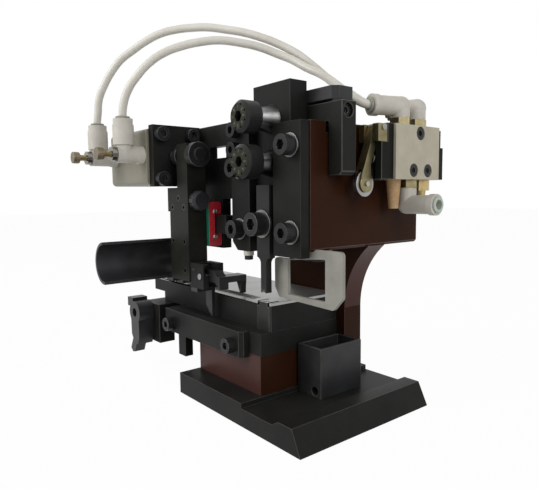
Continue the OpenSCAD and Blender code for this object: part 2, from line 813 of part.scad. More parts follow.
// The bracket carries the cylinder and the guide; its right end is let in behind the left cover plate
module bracket() {
    color("#202022") difference() {
        slab_xz(bracket_front, bracket_back) difference() {
            polygon([
                [bracket_left, bracket_low], [bracket_leg_right - bracket_leg_w - 2, bracket_low],
                [bracket_leg_right - bracket_leg_w - 2, leg_low], [bracket_leg_right, leg_low],
                [bracket_leg_right, bracket_low], [bracket_right, bracket_low],
                [bracket_right, bracket_top], [bracket_left, bracket_top],
            ]);
            polygon([[-49.4, cyl_z - 1.1], [-34.2, cyl_z - 1.1], [-34.2, cyl_z + 4.7], [-49.4, cyl_z + 4.7]]);
        }
        at_cover_screws() shank_hole($size, cover_t + bracket_t + 1);
        bracket_places() shank_hole(m3, bracket_t + 1);
        rail_bolts() translate([0, 0, -10]) cylinder(d = m3[0] + 2 * thread_gap, h = 20);
    }
}

// Puts a child at the screws that hold the cylinder plate, from behind the bracket
module bracket_places() {
    for (z = [cyl_z - 4.5, cyl_z + 4.5])
        translate([(plate_left + plate_right) / 2, bracket_back, z]) to_back() children();
}

// The small cap screws of the bracket, the guide rail and the guard
module small_screws() {
    color("#37373a") {
        guard_bolts() cap_screw(m3, 5);
        bracket_places() cap_screw(m3, bracket_t + 7);
        rail_bolts() translate([0, 0, -3.2]) cap_screw(m3, guide_rail_h + bracket_t - 3.4);
    }
}

// Puts a child at the two screws that hold the guide rail on the bracket's leg
module rail_bolts() {
    for (x = [guide_rail_left + 5, bracket_leg_right - 3.5])
        translate([x, guide_rail_front, guide_z]) to_front() children();
}

// The post carries the guide block and the finger; its upper bar is clamped on the rod
module feed_post() {
    color("#4a4a46") difference() {
        union() {
            span([bar_left, post_front, bar_low], [post_right, post_back, bar_top]);
            span([post_left - 2, post_front, bar_low], [post_right, post_back, post_top]);
            span([post_left, post_front, post_low], [post_right, post_back, bar_low + 1]);
        }
        translate([bar_left - 1, -cyl_y, cyl_z]) to_right() cylinder(d = rod_d - 2 + 0.1, h = 20);
        post_places() {
            translate([0, 0, -2.2]) cylinder(d = 3.9, h = 4);
            shank_hole(m2, 5.4);
        }
        block_places() {
            translate([0, 0, -2.2]) cylinder(d = 3.9, h = 4);
            shank_hole(m2, post_d + 1);
        }
        translate([post_right, knob_y, knob_z]) to_right() shank_hole(m4, 8);
        finger_bolts() shank_hole(m3, 8);
    }
}
knob_y = post_back - 5.2;
knob_z = bar_low + 5.5;

// Puts a child at each of the two spare holes on the post's front
module post_places() {
    for (place = [[-9.5, 41], [-4.2, 5]])
        translate([post_right + place[0], post_front, post_low + place[1]]) to_front() children();
}

// Puts a child at the four screws that hold the guide block, from the post's front
module block_places() {
    for (x = [-15.5, -4.3], z = [-8.5, 8.5])
        translate([post_right + x, post_front, guide_z + z]) to_front() children();
}

module post_screws() {
    color("#2c2c2e") {
        post_places() translate([0, 0, -2.2]) cap_screw(m2, 3);
        block_places() translate([0, 0, -2.2]) cap_screw(m2, post_d);
        finger_bolts() translate([0, 0, 5 - m3[2]]) cap_screw(m3, 9);
    }
}

module feed_knob() {
    color("#5f5f61") translate([post_right, knob_y, knob_z]) to_right() difference() {
        union() {
            translate([0, 0, 0.2]) rotate_extrude() polygon([[0, 0], [4.9, 0], [4.9, 3.2], [3.8, 4.4], [0, 4.4]]);
            translate([0, 0, -7]) cylinder(d = m4[0], h = 7.3);
        }
        for (i = [0:9]) rotate(i * 36) translate([5.2, 0, -1]) cylinder(d = 1.2, h = 8, $fn = 16);
    }
}

// Section of the guide block: a saddle with a channel that runs on the rail
module guide_section(extra) {
    difference() {
        offset(r = 1.2) offset(delta = -1.2) translate([-guide_w / 2, 0]) square([guide_w, guide_h]);
        translate([-guide_rail_w / 2 - skin, guide_h - guide_rail_h + guide_gap - skin - extra])
            square([guide_rail_w + 2 * skin, guide_h]);
    }
}

// Sweeps that section to the right, with its flat face on the post's back
module guide_sweep(x0, length) {
    translate([x0, post_back, guide_z]) rotate([90, 0, 90]) rotate(-90) linear_extrude(length) children();
}

module guide_block() {
    color("#8f9194") difference() {
        guide_sweep(guide_left + cap_t, guide_l - 2 * cap_t) guide_section(0);
        block_places() shank_hole(m2, post_d + 2.8);
    }
}

// A green cap at each end of the guide block
module guide_end_cap() {
    color("#14896a") for (x = [guide_left, guide_right - cap_t]) guide_sweep(x, cap_t) guide_section(0);
}

// A red seal on each cap, with two small screws and an oil hole between them
module guide_end_seal() {
    color("#c2203c") for (x = [guide_left - seal_t, guide_right]) difference() {
        guide_sweep(x, seal_t) guide_section(0.1);
        translate([x + (x < guide_right ? 0 : seal_t), post_back + 1.8, guide_z]) to_right()
            cylinder(d = 1.6, h = seal_t, center = true);
    }
}

// The rail is screwed to the bracket's leg and has a ball groove along each edge
module guide_rail() {
    half = guide_rail_w / 2;
    color("#a9abad") difference() {
        span([guide_rail_left, guide_rail_front, guide_z - half], [guide_rail_right, bracket_front, guide_z + half]);
        for (side = [-1, 1]) translate([0, guide_rail_front + 2.6, guide_z + side * (half + 0.2)]) rotate([45, 0, 0])
            cube([400, 1.1, 1.1], center = true);
        rail_bolts() {
            shank_hole(m3, guide_rail_h + 1);
            translate([0, 0, -3.2]) cylinder(d = m3[1] + 0.3, h = 4);
        }
    }
}

finger_right = post_right + 12;
finger_low = strip_z + 3;
finger_top = finger_low + 12;
pawl_x = finger_right - 3;
pawl_z = finger_low + 6;

// Puts a child at the screw that holds the finger holder on the post
module finger_bolts() {
    translate([post_right, post_front + 4, finger_top - 3]) to_right() children();
}

// The finger holder is clamped on the post's right side and forked for the pawl
module finger_holder() {
    color("#2f2f31") difference() {
        union() {
            span([post_right, post_front + 0.5, finger_low], [finger_right - 7, post_back + 1.5, finger_top]);
            span([post_right, post_front + 0.5, finger_low], [finger_right, post_front + 3.5, finger_top]);
            span([post_right, post_back - 1.5, finger_low], [finger_right, post_back + 1.5, finger_top]);
        }
        finger_bolts() {
            shank_hole(m3, 1);
            translate([0, 0, -1]) cylinder(d = m3[0] + 0.3, h = 20);
        }
        translate([pawl_x, 0, pawl_z]) to_front() cylinder(d = 3, h = 200, center = true);
        finger_bolts() translate([0, 0, 5 - m3[2]]) cylinder(d = m3[1] + 0.3, h = 20);
    }
}

// The pawl's point drops into the strip's feed holes, and its slope rides over them on the way back
module feed_pawl() {
    front = post_front + 3.7;
    back = post_back - 1.7;
    color("#1c1c1e") difference() {
        union() {
            slab_xz(front, back) polygon([
                [pawl_x - 3, pawl_z - 2.4], [pawl_x + 8, pawl_z - 2.4], [pawl_x + 12, pawl_z - 5.4],
                [pawl_x + 12, pawl_z - 1], [pawl_x + 7, pawl_z + 3], [pawl_x - 1.8, pawl_z + 3],
                [pawl_x - 3.4, pawl_z + 1.4],
            ]);
            span([pawl_x + 5, front, pawl_z - 2.4], [pawl_x + 12, -block_front + 6, pawl_z + 0.6]);
            slab_xz(-block_front + 3, -block_front + 6) polygon([
                [pawl_x + 7, pawl_z - 1], [pawl_x + 10.6, pawl_z - 8.4], [pawl_x + 11.4, pawl_z - 8.4],
                [pawl_x + 12, pawl_z - 1],
            ]);
        }
        translate([pawl_x, 0, pawl_z]) to_front() cylinder(d = 3.1, h = 200, center = true);
    }
}

module pawl_pin() {
    color("#8f9194") translate([pawl_x, post_back + 1.5, pawl_z]) to_front()
        cylinder(d = 2.95, h = post_back - post_front + 1.5);
}

// The blade hangs from the holder into the groove behind the front rail
module guide_blade() {
    color("#5a5a58") difference() {
        union() {
            slab_xz(-foot_front + 1.4, -foot_front + 3.4) polygon([
                [post_right + 0.5, finger_low], [post_right + 0.5, track_z + 6], [post_right + 5, track_z + 1],
                [post_right + 6, track_z + 1], [post_right + 6, finger_low],
            ]);
            span([post_right + 0.5, post_front + 0.5, finger_low - 2], [post_right + 6, -foot_front + 3.4, finger_low]);
        }
    }
}

// The curved sheet that leads the strip up to the track, open to the upper right
module strip_guide() {
    radius = 10.6;
    sheet = 1.4;
    centre_x = -68.6;
    centre_z = strip_z + 14.6;
    color("#262729") difference() {
        union() {
            slab_xz(-68, -block_front + 1) translate([centre_x, centre_z]) difference() {
                circle(r = radius);
                circle(r = radius - sheet);
                polygon([[0, 0], [-4, 40], [60, 40], [60, -60], [6, -60]]);
            }
            span([centre_x - 5, -block_front - 8, strip_z + 2], [centre_x + 2, -block_front + 1, centre_z - radius + 1]);
            span([centre_x - 5, -block_front - 2, strip_z], [centre_x + 2, -block_front + 14, strip_z + 2.2]);
        }
    }
}

lever_pin_x = -93;
lever_pin_z = 33;
lever_back = -foot_front - 4;
lever_front = lever_back - 9;

// The brake body hangs under the block's left end and carries the lever's pin
module brake_body() {
    color("#3a3a38") {
        span([lever_pin_x - 6, lever_back + skin, track_z - 10], [lever_pin_x + 12, -block_front + 8, track_z - 0.001]);
        span([lever_pin_x + 3, lever_back + skin, track_z - 22], [lever_pin_x + 12, -block_front, track_z - 9]);
        translate([lever_pin_x, lever_back + skin + 2, lever_pin_z]) to_front() cylinder(d = 4.9, h = 2 + skin + 9 - 2);
    }
}

// The lever is a cam with a hub, a short tab and a handle that hangs down
module brake_lever() {
    color("#454543") translate([lever_pin_x, 0, lever_pin_z]) difference() {
        union() {
            translate([0, lever_back, 0]) to_front() cylinder(r = 6.4, h = lever_back - lever_front);
            slab_xz(lever_front, lever_back)
                polygon([[-5, -1], [-4.5, -13], [-1.5, -17], [3, -18], [5, -14], [5, -1]]);
            slab_xz(lever_front, lever_back) polygon([[-8.5, 3], [-8.5, 8], [-2, 8], [-2, 3]]);
            slab_xz(lever_front + 1.5, lever_back - 1.5)
                polygon([[-4, -12], [-9.5, -22.5], [-7, -24.5], [-4.5, -24], [0, -15]]);
        }
        translate([0, lever_back + 1, 0]) to_front() cylinder(d = 5, h = 20);
    }
}

thumb_x = -68;
thumb_y = -foot_front + 6;

// The thumb screw is turned by a cross pin and clamps the strip brake from below
module thumb_screw() {
    color("#39393b") translate([thumb_x, thumb_y, 0]) {
        translate([0, 0, foot_z - 15.5]) cylinder(d = 5.6, h = 4.4);
        translate([0, 0, foot_z - 12]) cylinder(d = m4[0], h = 11.9 + 6);
        translate([0, 0, foot_z - 8.2]) rotate([90, 0, 60]) cylinder(d = 1.8, h = 12, center = true);
    }
}

// Puts a child at each of the valve's three through bolts
module valve_bolts() {
    for (place = [[17.6, 20.6], [12.9, 4], [23.4, 4]])
        translate([valve_right, valve_y + place[0], valve_z + place[1]]) to_right() children();
}

module valve_body() {
    color("#c3bbac") difference() {
        span([valve_left, valve_y, valve_z], [valve_right, valve_back, valve_top]);
        valve_bolts() {
            shank_hole(m3, valve_w + 1);
            translate([0, 0, -2.4]) cylinder(d = m3[1] + 0.6, h = 4);
        }
        for (y = port_y) translate([port_x, y, valve_top]) cylinder(d = 5, h = 10, center = true);
        for (y = [silencer_y, low_port_y, plug_y]) translate([port_x, y, valve_z]) cylinder(d = 5, h = 10, center = true);
        translate([lever_x, valve_y - 1, plunger_z]) to_back() cylinder(d = plunger_d + 0.1, h = 14);
    }
}
port_x = valve_left + 6.7;
port_y = [valve_y + 11.5, valve_y + 23.4];
silencer_y = valve_y + 7.2;
low_port_y = valve_y + 17.3;
plug_y = valve_y + 27;
plunger_d = 4;
plunger_z = valve_z + 9;

// Black end caps, with a step at the back and a bore for the plunger at the front
module valve_caps() {
    front = valve_y - valve_cap_t;
    color("#1e2422") {
        difference() {
            span([valve_left, front, valve_z], [valve_right - 1.2, valve_y, valve_top]);
            translate([lever_x, front - 1, plunger_z]) to_back() cylinder(d = plunger_d + 0.1, h = 20);
            span([valve_left - 1, front - 1, pivot_z - 6], [valve_right + 1, front + 4, valve_top + 1]);
            span([lever_x - lever_w / 2 - 0.4, front - 1, valve_z - 1],
                [lever_x + lever_w / 2 + 0.4, front + 4, valve_top + 1]);
        }
        span([valve_left, valve_back, valve_z], [valve_right - 1.2, valve_back + 5, valve_z + 15]);
        span([valve_left, valve_back, valve_z + 15], [valve_right - 1.2, valve_back + 3, valve_top - 1]);
    }
}

module valve_screws() {
    color("#4a4a4a") valve_bolts() translate([0, 0, -2.4]) cap_screw([3, 5.4, 2.2], valve_w + 4);
}

// The brass pivot block stands on the front cap and forks round the lever
module valve_pivot() {
    front = valve_y - valve_cap_t;
    color("#b7a27a") difference() {
        span([valve_left + 1, pivot_y - 3.6, pivot_z - 6 + 0.001], [valve_right - 1.5, front + 4, valve_top - 0.5]);
        span([lever_x - lever_w / 2 - 0.3, pivot_y - 5, pivot_z - 7], [lever_x + lever_w / 2 + 0.3, front + 5, valve_top + 1]);
    }
    color("#9b9c9e") translate([valve_left + 0.6, pivot_y, pivot_z]) to_right() cylinder(d = 2.6, h = valve_w - 1.6);
}
lever_w = 4;

// The lever hangs from the pivot and is forked at its end for the roller
module roller_lever() {
    half = lever_w / 2;
    drop = pivot_z - roller_z;
    color("#8d8050") difference() {
        union() {
            translate([lever_x - half, pivot_y, pivot_z]) to_right() cylinder(d = 3.6, h = lever_w);
            translate([lever_x + half, 0, 0]) rotate([90, 0, -90]) linear_extrude(lever_w) polygon([
                [-pivot_y - 1.8, pivot_z], [-pivot_y + 1.8, pivot_z], [-roller_y + 3, roller_z + 4],
                [-roller_y + 3.4, roller_z], [-roller_y, roller_z - 3.6], [-roller_y - 3.4, roller_z],
                [-roller_y - 2.6, roller_z + 8],
            ]);
        }
        translate([lever_x - half - 1, pivot_y, pivot_z]) to_right() cylinder(d = 2.7, h = lever_w + 2);
        translate([lever_x - roller_t / 2 - 0.25, roller_y - 8, roller_z - 8]) cube([roller_t + 0.5, 16, 8 + 6]);
    }
    color("#b9babc") translate([lever_x - half - 0.8, roller_y, roller_z]) to_right() cylinder(d = 2.2, h = lever_w + 1.6);
}
roller_t = 2.2;

module valve_roller() {
    color("#b9babc") translate([lever_x - roller_t / 2, roller_y, roller_z]) to_right() washer(roller_d, 2.3, roller_t);
}

module valve_plunger() {
    front = valve_y - valve_cap_t;
    color("#a9abad") translate([lever_x, front - 0.2, plunger_z]) to_back() cylinder(d = plunger_d, h = valve_cap_t + 8);
}

// A push in socket of a given reach: a plain barrel, a collar and the bore that takes the tube
socket_bore = tube_d + 0.2;
socket_deep = 8;
barrel_d = 8.6;
collar_d = 9.6;
collar_h = 3;
module socket_solid(reach) {
    cylinder(d = barrel_d, h = reach);
    translate([0, 0, reach - collar_h]) cylinder(d = collar_d, h = collar_h);
}
module socket_hole(reach) { translate([0, 0, reach - socket_deep]) cylinder(d = socket_bore, h = socket_deep + 1); }

// An elbow: hexagon below, stem above and a socket turned about the stem at the height rise
elbow_hex_d = 10;
elbow_hex_h = 3.6;
elbow_stem_d = 8.4;
elbow_ball_d = 8.8;
module elbow(reach, turn, rise) {
    cylinder(d = elbow_hex_d, h = elbow_hex_h, $fn = 6);
    difference() {
        union() {
            translate([0, 0, elbow_hex_h - 0.1]) cylinder(d = elbow_stem_d, h = rise - elbow_hex_h + 0.1);
            translate([0, 0, rise]) sphere(d = elbow_ball_d);
            translate([0, 0, rise]) rotate([90, 0, turn]) socket_solid(reach);
        }
        translate([0, 0, rise]) rotate([90, 0, turn]) socket_hole(reach);
    }
}
top_rise = 8.9;
low_rise = 11.4;

module valve_fittings() {
    color("#d8d4cf") {
        translate([port_x, port_y[0], valve_top]) elbow(15.5, -18, top_rise);
        translate([port_x, port_y[1], valve_top]) elbow(13, -58, top_rise);
        translate([port_x, low_port_y, valve_z]) rotate([180, 0, 0]) elbow(16, 90, low_rise);
    }
    color("#c89b6c") translate([port_x, silencer_y, valve_z - 13]) cylinder(d1 = 4.4, d2 = 6.6, h = 13);
    color("#8a7048") translate([port_x, plug_y, valve_z]) rotate([180, 0, 0]) {
        cylinder(d = 9.6, h = 5, $fn = 6);
        cylinder(d1 = 6.4, d2 = 5, h = 8);
    }
}

// Puts a child at each port on the cylinder's front face
module at_ports() {
    for (x = [cyl_left + 5.5, plate_left - 5]) translate([x, -cyl_y - cyl_s / 2, cyl_z + 1]) to_front() children();
}

// A speed controller: banjo body on a brass stem, with its tube socket on top
module speed_controllers() {
    color("#d6d1cb") at_ports() {
        cylinder(d = 9, h = 3);
        difference() {
            union() {
                cylinder(d = 8.4, h = banjo_l);
                translate([0, 0, 9.7]) rotate([-90, 0, 0]) socket_solid(17.5);
                translate([0, 0, 9.7]) rotate([-90, 0, 0]) translate([0, 0, 4.6]) cylinder(d = 10.4, h = 9.9);
            }
            translate([0, 0, 9.7]) rotate([-90, 0, 0]) socket_hole(17.5);
        }
    }
    color("#8a7048") at_ports() {
        translate([0, 0, -3.9]) cylinder(d = 4.8, h = 4);
        translate([0, 0, banjo_l - 0.1]) washer(7, needle_d + 0.1, 2.6);
    }
}

needle_d = 3;
banjo_l = 14.2;

// The needle is screwed into the banjo's end and turned by its knob
module needle(which) {
    x = which == 0 ? cyl_left + 5.5 : plate_left - 5;
    color("#8a7048") translate([x, -cyl_y - cyl_s / 2 - banjo_l, cyl_z + 1]) to_front() {
        translate([0, 0, 0.1]) cylinder(d = needle_d, h = 6.5);
        translate([0, 0, 6.4]) cylinder(d = 6, h = 3.4);
    }
}

module needle_left() { needle(0); }

module needle_right() { needle(1); }

// Sweeps a round tube along the points of a route
function unit(v) = v / norm(v);
function heading(route, i) =
    unit(route[min(i + 1, len(route) - 1)] - route[max(i - 1, 0)]);
function across(route, i) = unit(cross(heading(route, i), [0.63, -0.77, 0.1]));
function ring_point(route, i, k, sides) =
    let (h = heading(route, i), u = across(route, i), v = cross(h, u), a = 360 * k / sides)
    route[i] + tube_d / 2 * (cos(a) * u + sin(a) * v);

module tube(route) {
    sides = 8;
    rings = len(route);
    points = [for (i = [0:rings - 1], k = [0:sides - 1]) ring_point(route, i, k, sides)];
    walls = [for (i = [0:rings - 2], k = [0:sides - 1]) let (n = (k + 1) % sides)
        [i * sides + k, i * sides + n, (i + 1) * sides + n, (i + 1) * sides + k]];
    start = [for (k = [0:sides - 1]) sides - 1 - k];
    end = [for (k = [0:sides - 1]) (rings - 1) * sides + k];
    polyhedron(points, concat([start], walls, [end]));
}

module tube_a() { color("#e4e4e2") tube(route_a); }

module tube_b() { color("#e4e4e2") tube(route_b); }

base_plate();
base_screws();
frame_casting();
ram_block();
trip_slab();
trip_bar();
trip_screws();
left_cover_plate();
right_cover_plate();
cover_screws();
cover_washers();
gib_adjuster();
wire_crimper();
insulation_crimper();
crimper_bolt();
crimper_washer();
anvil();
upper_dial();
lower_dial();
track_base();
track_block();
front_rail();
rail_screws();
guard();
die_holder();
cylinder_body();
cylinder_plate();
cylinder_screws();
piston_rod();
rod_nuts();
bracket();
small_screws();
feed_post();
post_screws();
feed_knob();
guide_block();
guide_end_cap();
guide_end_seal();
guide_rail();
finger_holder();
feed_pawl();
pawl_pin();
guide_blade();
strip_guide();
brake_body();
brake_lever();
thumb_screw();
valve_body();
valve_caps();
valve_screws();
valve_pivot();
roller_lever();
valve_roller();
valve_plunger();
valve_fittings();
speed_controllers();
needle_left();
needle_right();
tube_a();
tube_b();
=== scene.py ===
import json
import math

import bmesh
import bpy
from mathutils import Matrix, Vector

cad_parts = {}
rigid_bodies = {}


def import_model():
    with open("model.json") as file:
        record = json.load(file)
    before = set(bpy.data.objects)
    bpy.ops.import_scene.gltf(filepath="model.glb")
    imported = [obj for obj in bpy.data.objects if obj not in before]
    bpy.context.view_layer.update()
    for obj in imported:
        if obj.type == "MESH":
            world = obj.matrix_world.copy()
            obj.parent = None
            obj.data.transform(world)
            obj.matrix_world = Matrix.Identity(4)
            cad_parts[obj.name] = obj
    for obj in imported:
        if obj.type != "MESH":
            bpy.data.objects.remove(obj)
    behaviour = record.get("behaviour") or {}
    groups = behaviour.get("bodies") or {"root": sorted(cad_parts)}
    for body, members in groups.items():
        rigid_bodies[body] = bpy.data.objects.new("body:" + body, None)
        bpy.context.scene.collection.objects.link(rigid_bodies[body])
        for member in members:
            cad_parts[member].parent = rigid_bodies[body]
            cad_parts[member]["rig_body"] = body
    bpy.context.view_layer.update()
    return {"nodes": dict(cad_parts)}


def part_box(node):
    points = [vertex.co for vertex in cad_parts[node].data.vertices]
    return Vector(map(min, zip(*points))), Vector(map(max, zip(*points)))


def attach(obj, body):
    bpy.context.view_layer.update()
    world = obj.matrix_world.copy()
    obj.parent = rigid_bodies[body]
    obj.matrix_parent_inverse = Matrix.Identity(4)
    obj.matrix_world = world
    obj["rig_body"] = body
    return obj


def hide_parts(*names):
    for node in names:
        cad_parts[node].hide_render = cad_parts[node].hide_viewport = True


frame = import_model()

# Camera at the photograph's viewing angle, solved from the base plate's and the head's edges.
# The frame is 538 by 489 pixels and the focal length 529 pixels, which is 35.4 mm on a 36 mm sensor.
eye = Vector((0.1855, -0.1668, 0.0988))
azimuth, pitch, roll = math.radians(51.22), math.radians(5.38), math.radians(-0.59)
look = Vector((-math.sin(azimuth) * math.cos(pitch), math.cos(azimuth) * math.cos(pitch),
               -math.sin(pitch)))
level_right = look.cross(Vector((0, 0, 1))).normalized()
level_up = level_right.cross(look)
right = math.cos(roll) * level_right + math.sin(roll) * level_up
up = -math.sin(roll) * level_right + math.cos(roll) * level_up
sensor_width, focal_pixels, frame_pixels = 36, 529, 538
photo_camera = bpy.data.objects.new("photo_camera", bpy.data.cameras.new("photo_camera"))
photo_camera.data.sensor_width = sensor_width
photo_camera.data.lens = sensor_width * focal_pixels / frame_pixels
photo_camera.data.clip_start = 0.01
photo_camera.matrix_world = Matrix((right, up, -look)).transposed().to_4x4()
photo_camera.matrix_world.translation = eye
bpy.context.scene.collection.objects.link(photo_camera)
bpy.context.scene.camera = photo_camera
bpy.context.scene.view_settings.view_transform = "Standard"


# Studio: a white room that the metal reflects, one large soft light from the left front and a weak one
# from the right. The floor is pale and keeps the die's shadow.
def node_tree(owner):
    """Empties a material's or a world's node tree and returns it."""
    owner.use_nodes = True
    owner.node_tree.nodes.clear()
    return owner.node_tree


def add(tree, kind, **values):
    """Adds a shader node and sets its inputs and properties by name."""
    node = tree.nodes.new(kind)
    for name, value in values.items():
        label = name.replace("_", " ")
        if label in node.inputs:
            node.inputs[label].default_value = value
        else:
            setattr(node, name, value)
    return node


def seen_directly(tree):
    """A factor that is 1 for what the camera, a reflection or a clear piece shows of the background."""
    path = add(tree, "ShaderNodeLightPath")
    first = add(tree, "ShaderNodeMath", operation="MAXIMUM")
    both = add(tree, "ShaderNodeMath", operation="MAXIMUM")
    tree.links.new(path.outputs["Is Camera Ray"], first.inputs[0])
    tree.links.new(path.outputs["Is Glossy Ray"], first.inputs[1])
    tree.links.new(first.outputs[0], both.inputs[0])
    tree.links.new(path.outputs["Is Transmission Ray"], both.inputs[1])
    return both.outputs[0]


studio = bpy.data.worlds.new("studio")
bpy.context.scene.world = studio
tree = node_tree(studio)
strength = add(tree, "ShaderNodeMapRange", To_Min=0.26, To_Max=1.0)
tree.links.new(seen_directly(tree), strength.inputs["Value"])
glow = add(tree, "ShaderNodeBackground", Color=(1, 1, 1, 1))
tree.links.new(strength.outputs[0], glow.inputs["Strength"])
tree.links.new(glow.outputs[0], add(tree, "ShaderNodeOutputWorld").inputs["Surface"])


def soft_light(name, place, target, size, power):
    """A square soft light at a place, turned to face a target."""
    lamp = bpy.data.objects.new(name, bpy.data.lights.new(name, "AREA"))
    lamp.data.size = size
    lamp.data.energy = power
    lamp.location = place
    lamp.rotation_euler = (Vector(target) - Vector(place)).to_track_quat("-Z", "Y").to_euler()
    bpy.context.scene.collection.objects.link(lamp)


soft_light("key_light", place=(-0.35, -0.85, 0.6), target=(-0.03, 0, 0.07), size=0.6, power=6.5)
soft_light("fill_light", place=(0.8, -0.1, 0.5), target=(0, 0, 0.07), size=0.5, power=3)

floor_mesh = bmesh.new()
bmesh.ops.create_grid(floor_mesh, x_segments=1, y_segments=1, size=3)
floor_data = bpy.data.meshes.new("studio_floor")
floor_mesh.to_mesh(floor_data)
floor_mesh.free()
studio_floor = bpy.data.objects.new("studio_floor", floor_data)
bpy.context.scene.collection.objects.link(studio_floor)
pale = bpy.data.materials.new("pale_floor")
tree = node_tree(pale)
paint = add(tree, "ShaderNodeBsdfDiffuse", Color=(0.86, 0.86, 0.86, 1))
bright = add(tree, "ShaderNodeEmission", Color=(1, 1, 1, 1), Strength=1.0)
share = add(tree, "ShaderNodeMath", operation="MULTIPLY")
share.inputs[1].default_value = 0.97
mixed = add(tree, "ShaderNodeMixShader")
tree.links.new(seen_directly(tree), share.inputs[0])
tree.links.new(share.outputs[0], mixed.inputs[0])
tree.links.new(paint.outputs[0], mixed.inputs[1])
tree.links.new(bright.outputs[0], mixed.inputs[2])
tree.links.new(mixed.outputs[0], add(tree, "ShaderNodeOutputMaterial").inputs["Surface"])
floor_data.materials.append(pale)


# Air tubes: two 4 mm polyurethane tubes, milky and springy, that arch from the cylinder's speed
# controllers to the valve's two upper elbows. They are pushed 5 mm into each collar.
def coated(name, dark, light, patch, roughness, grain, bump, metallic=0.0, squeeze=(1, 1, 1),
           worn=None, **more):
    """A finish with cloudy colour from dark to light, uneven gloss and a fine grain.

    patch and grain are sizes in metres, squeeze makes the grain finer along an axis, and worn is a
    colour that shows in small rubbed places."""
    made = bpy.data.materials.new(name)
    tree = node_tree(made)
    link = tree.links.new
    place = add(tree, "ShaderNodeTexCoord")
    shader = add(tree, "ShaderNodeBsdfPrincipled", Metallic=metallic, **more)
    clouds = add(tree, "ShaderNodeTexNoise", Scale=1 / patch, Detail=5.0, Roughness=0.6)
    ramp = add(tree, "ShaderNodeValToRGB")
    ramp.color_ramp.elements[0].position = 0.3
    ramp.color_ramp.elements[1].position = 0.72
    ramp.color_ramp.elements[0].color = (*dark, 1)
    ramp.color_ramp.elements[1].color = (*light, 1)
    colour = ramp.outputs["Color"]
    gloss = add(tree, "ShaderNodeMapRange", To_Min=roughness[0], To_Max=roughness[1])
    lay = add(tree, "ShaderNodeMapping", Scale=squeeze)
    fine = add(tree, "ShaderNodeTexNoise", Scale=1 / grain, Detail=3.0)
    relief = add(tree, "ShaderNodeBump", Strength=bump, Distance=0.0001)
    link(place.outputs["Object"], clouds.inputs["Vector"])
    link(clouds.outputs["Fac"], ramp.inputs["Fac"])
    link(place.outputs["Object"], lay.inputs["Vector"])
    link(lay.outputs["Vector"], fine.inputs["Vector"])
    if worn:
        rubbing = add(tree, "ShaderNodeTexNoise", Scale=3.5 / patch, Detail=9.0, Roughness=0.75)
        spots = add(tree, "ShaderNodeMapRange", From_Min=0.6, From_Max=0.78, To_Max=0.6)
        # A colour mix keeps its factor at input 0, its two colours at 6 and 7 and its result at output 2.
        rubbed_colour = add(tree, "ShaderNodeMix", data_type="RGBA")
        rubbed_colour.inputs[7].default_value = (*worn, 1)
        link(lay.outputs["Vector"], rubbing.inputs["Vector"])
        link(rubbing.outputs["Fac"], spots.inputs["Value"])
        link(spots.outputs[0], rubbed_colour.inputs[0])
        link(colour, rubbed_colour.inputs[6])
        colour = rubbed_colour.outputs[2]
    link(colour, shader.inputs["Base Color"])
    link(fine.outputs["Fac"], gloss.inputs["Value"])
    link(gloss.outputs[0], shader.inputs["Roughness"])
    link(fine.outputs["Fac"], relief.inputs["Height"])
    link(relief.outputs["Normal"], shader.inputs["Normal"])
    link(shader.outputs[0], add(tree, "ShaderNodeOutputMaterial").inputs["Surface"])
    return made


milky = coated("milky_tube", dark=(0.62, 0.59, 0.52), light=(0.8, 0.775, 0.71), patch=0.03,
               roughness=(0.25, 0.35), grain=0.004, bump=0.0, IOR=1.4)


def air_tube(name, node, route):
    """One open curve through the route's points, in millimetres, as thick as the tube."""
    line = bpy.data.curves.new(name, "CURVE")
    line.dimensions = "3D"
    line.bevel_depth = 0.002
    line.bevel_resolution = 5
    line.resolution_u = 6
    line.use_fill_caps = True
    spline = line.splines.new("BEZIER")
    spline.bezier_points.add(len(route) - 1)
    for knot, point in zip(spline.bezier_points, route):
        knot.co = Vector(point) / 1000
        knot.handle_left_type = knot.handle_right_type = "AUTO"
    line.materials.append(milky)
    tube = bpy.data.objects.new(name, line)
    bpy.context.scene.collection.objects.link(tube)
    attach(tube, "frame")
    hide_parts(node)


air_tube("air_tube_advance", "tube_a", [
    (-101.5, -55.5, 133), (-101.5, -55.5, 138), (-101, -55, 144), (-100, -54.5, 151), (-97.5, -52.5, 158),
    (-94, -49.5, 165), (-89.5, -46, 171), (-84, -41.5, 175.5), (-78.5, -37, 179.5),
    (-72, -31.5, 183), (-65.5, -26, 184.5), (-59, -20, 185), (-52, -14.5, 184.5),
    (-45.5, -8.5, 183), (-38.5, -2.5, 181), (-31.5, 3.5, 178), (-24.5, 9.5, 174),
    (-17, 15.5, 168.5), (-9, 20, 161), (-1.5, 24, 153.5), (7.5, 28.6, 146.3), (14, 32.4, 141.2),
    (18, 34.9, 138.8), (22.18, 37.51, 137.9), (26.4, 40.15, 137.9),
])
air_tube("air_tube_return", "tube_b", [
    (-68, -55.5, 133), (-68, -55.5, 138), (-67.5, -55, 144), (-66, -53, 151), (-63, -49.5, 157.5),
    (-59, -44.5, 164), (-54.5, -39, 168.5), (-50, -31.5, 172), (-44.5, -24, 174),
    (-39.5, -16, 175), (-34, -7.5, 174), (-28.5, 0, 172), (-22.5, 6.5, 168.5), (-16, 10.5, 165),
    (-8, 13, 160), (2, 13.5, 155), (9, 12.2, 151), (15.5, 10.8, 147), (21, 10.5, 143.2),
    (25, 12.3, 140), (27.3, 15.2, 138.3), (28.7, 18.7, 137.9), (29.9, 22.4, 137.9),
])


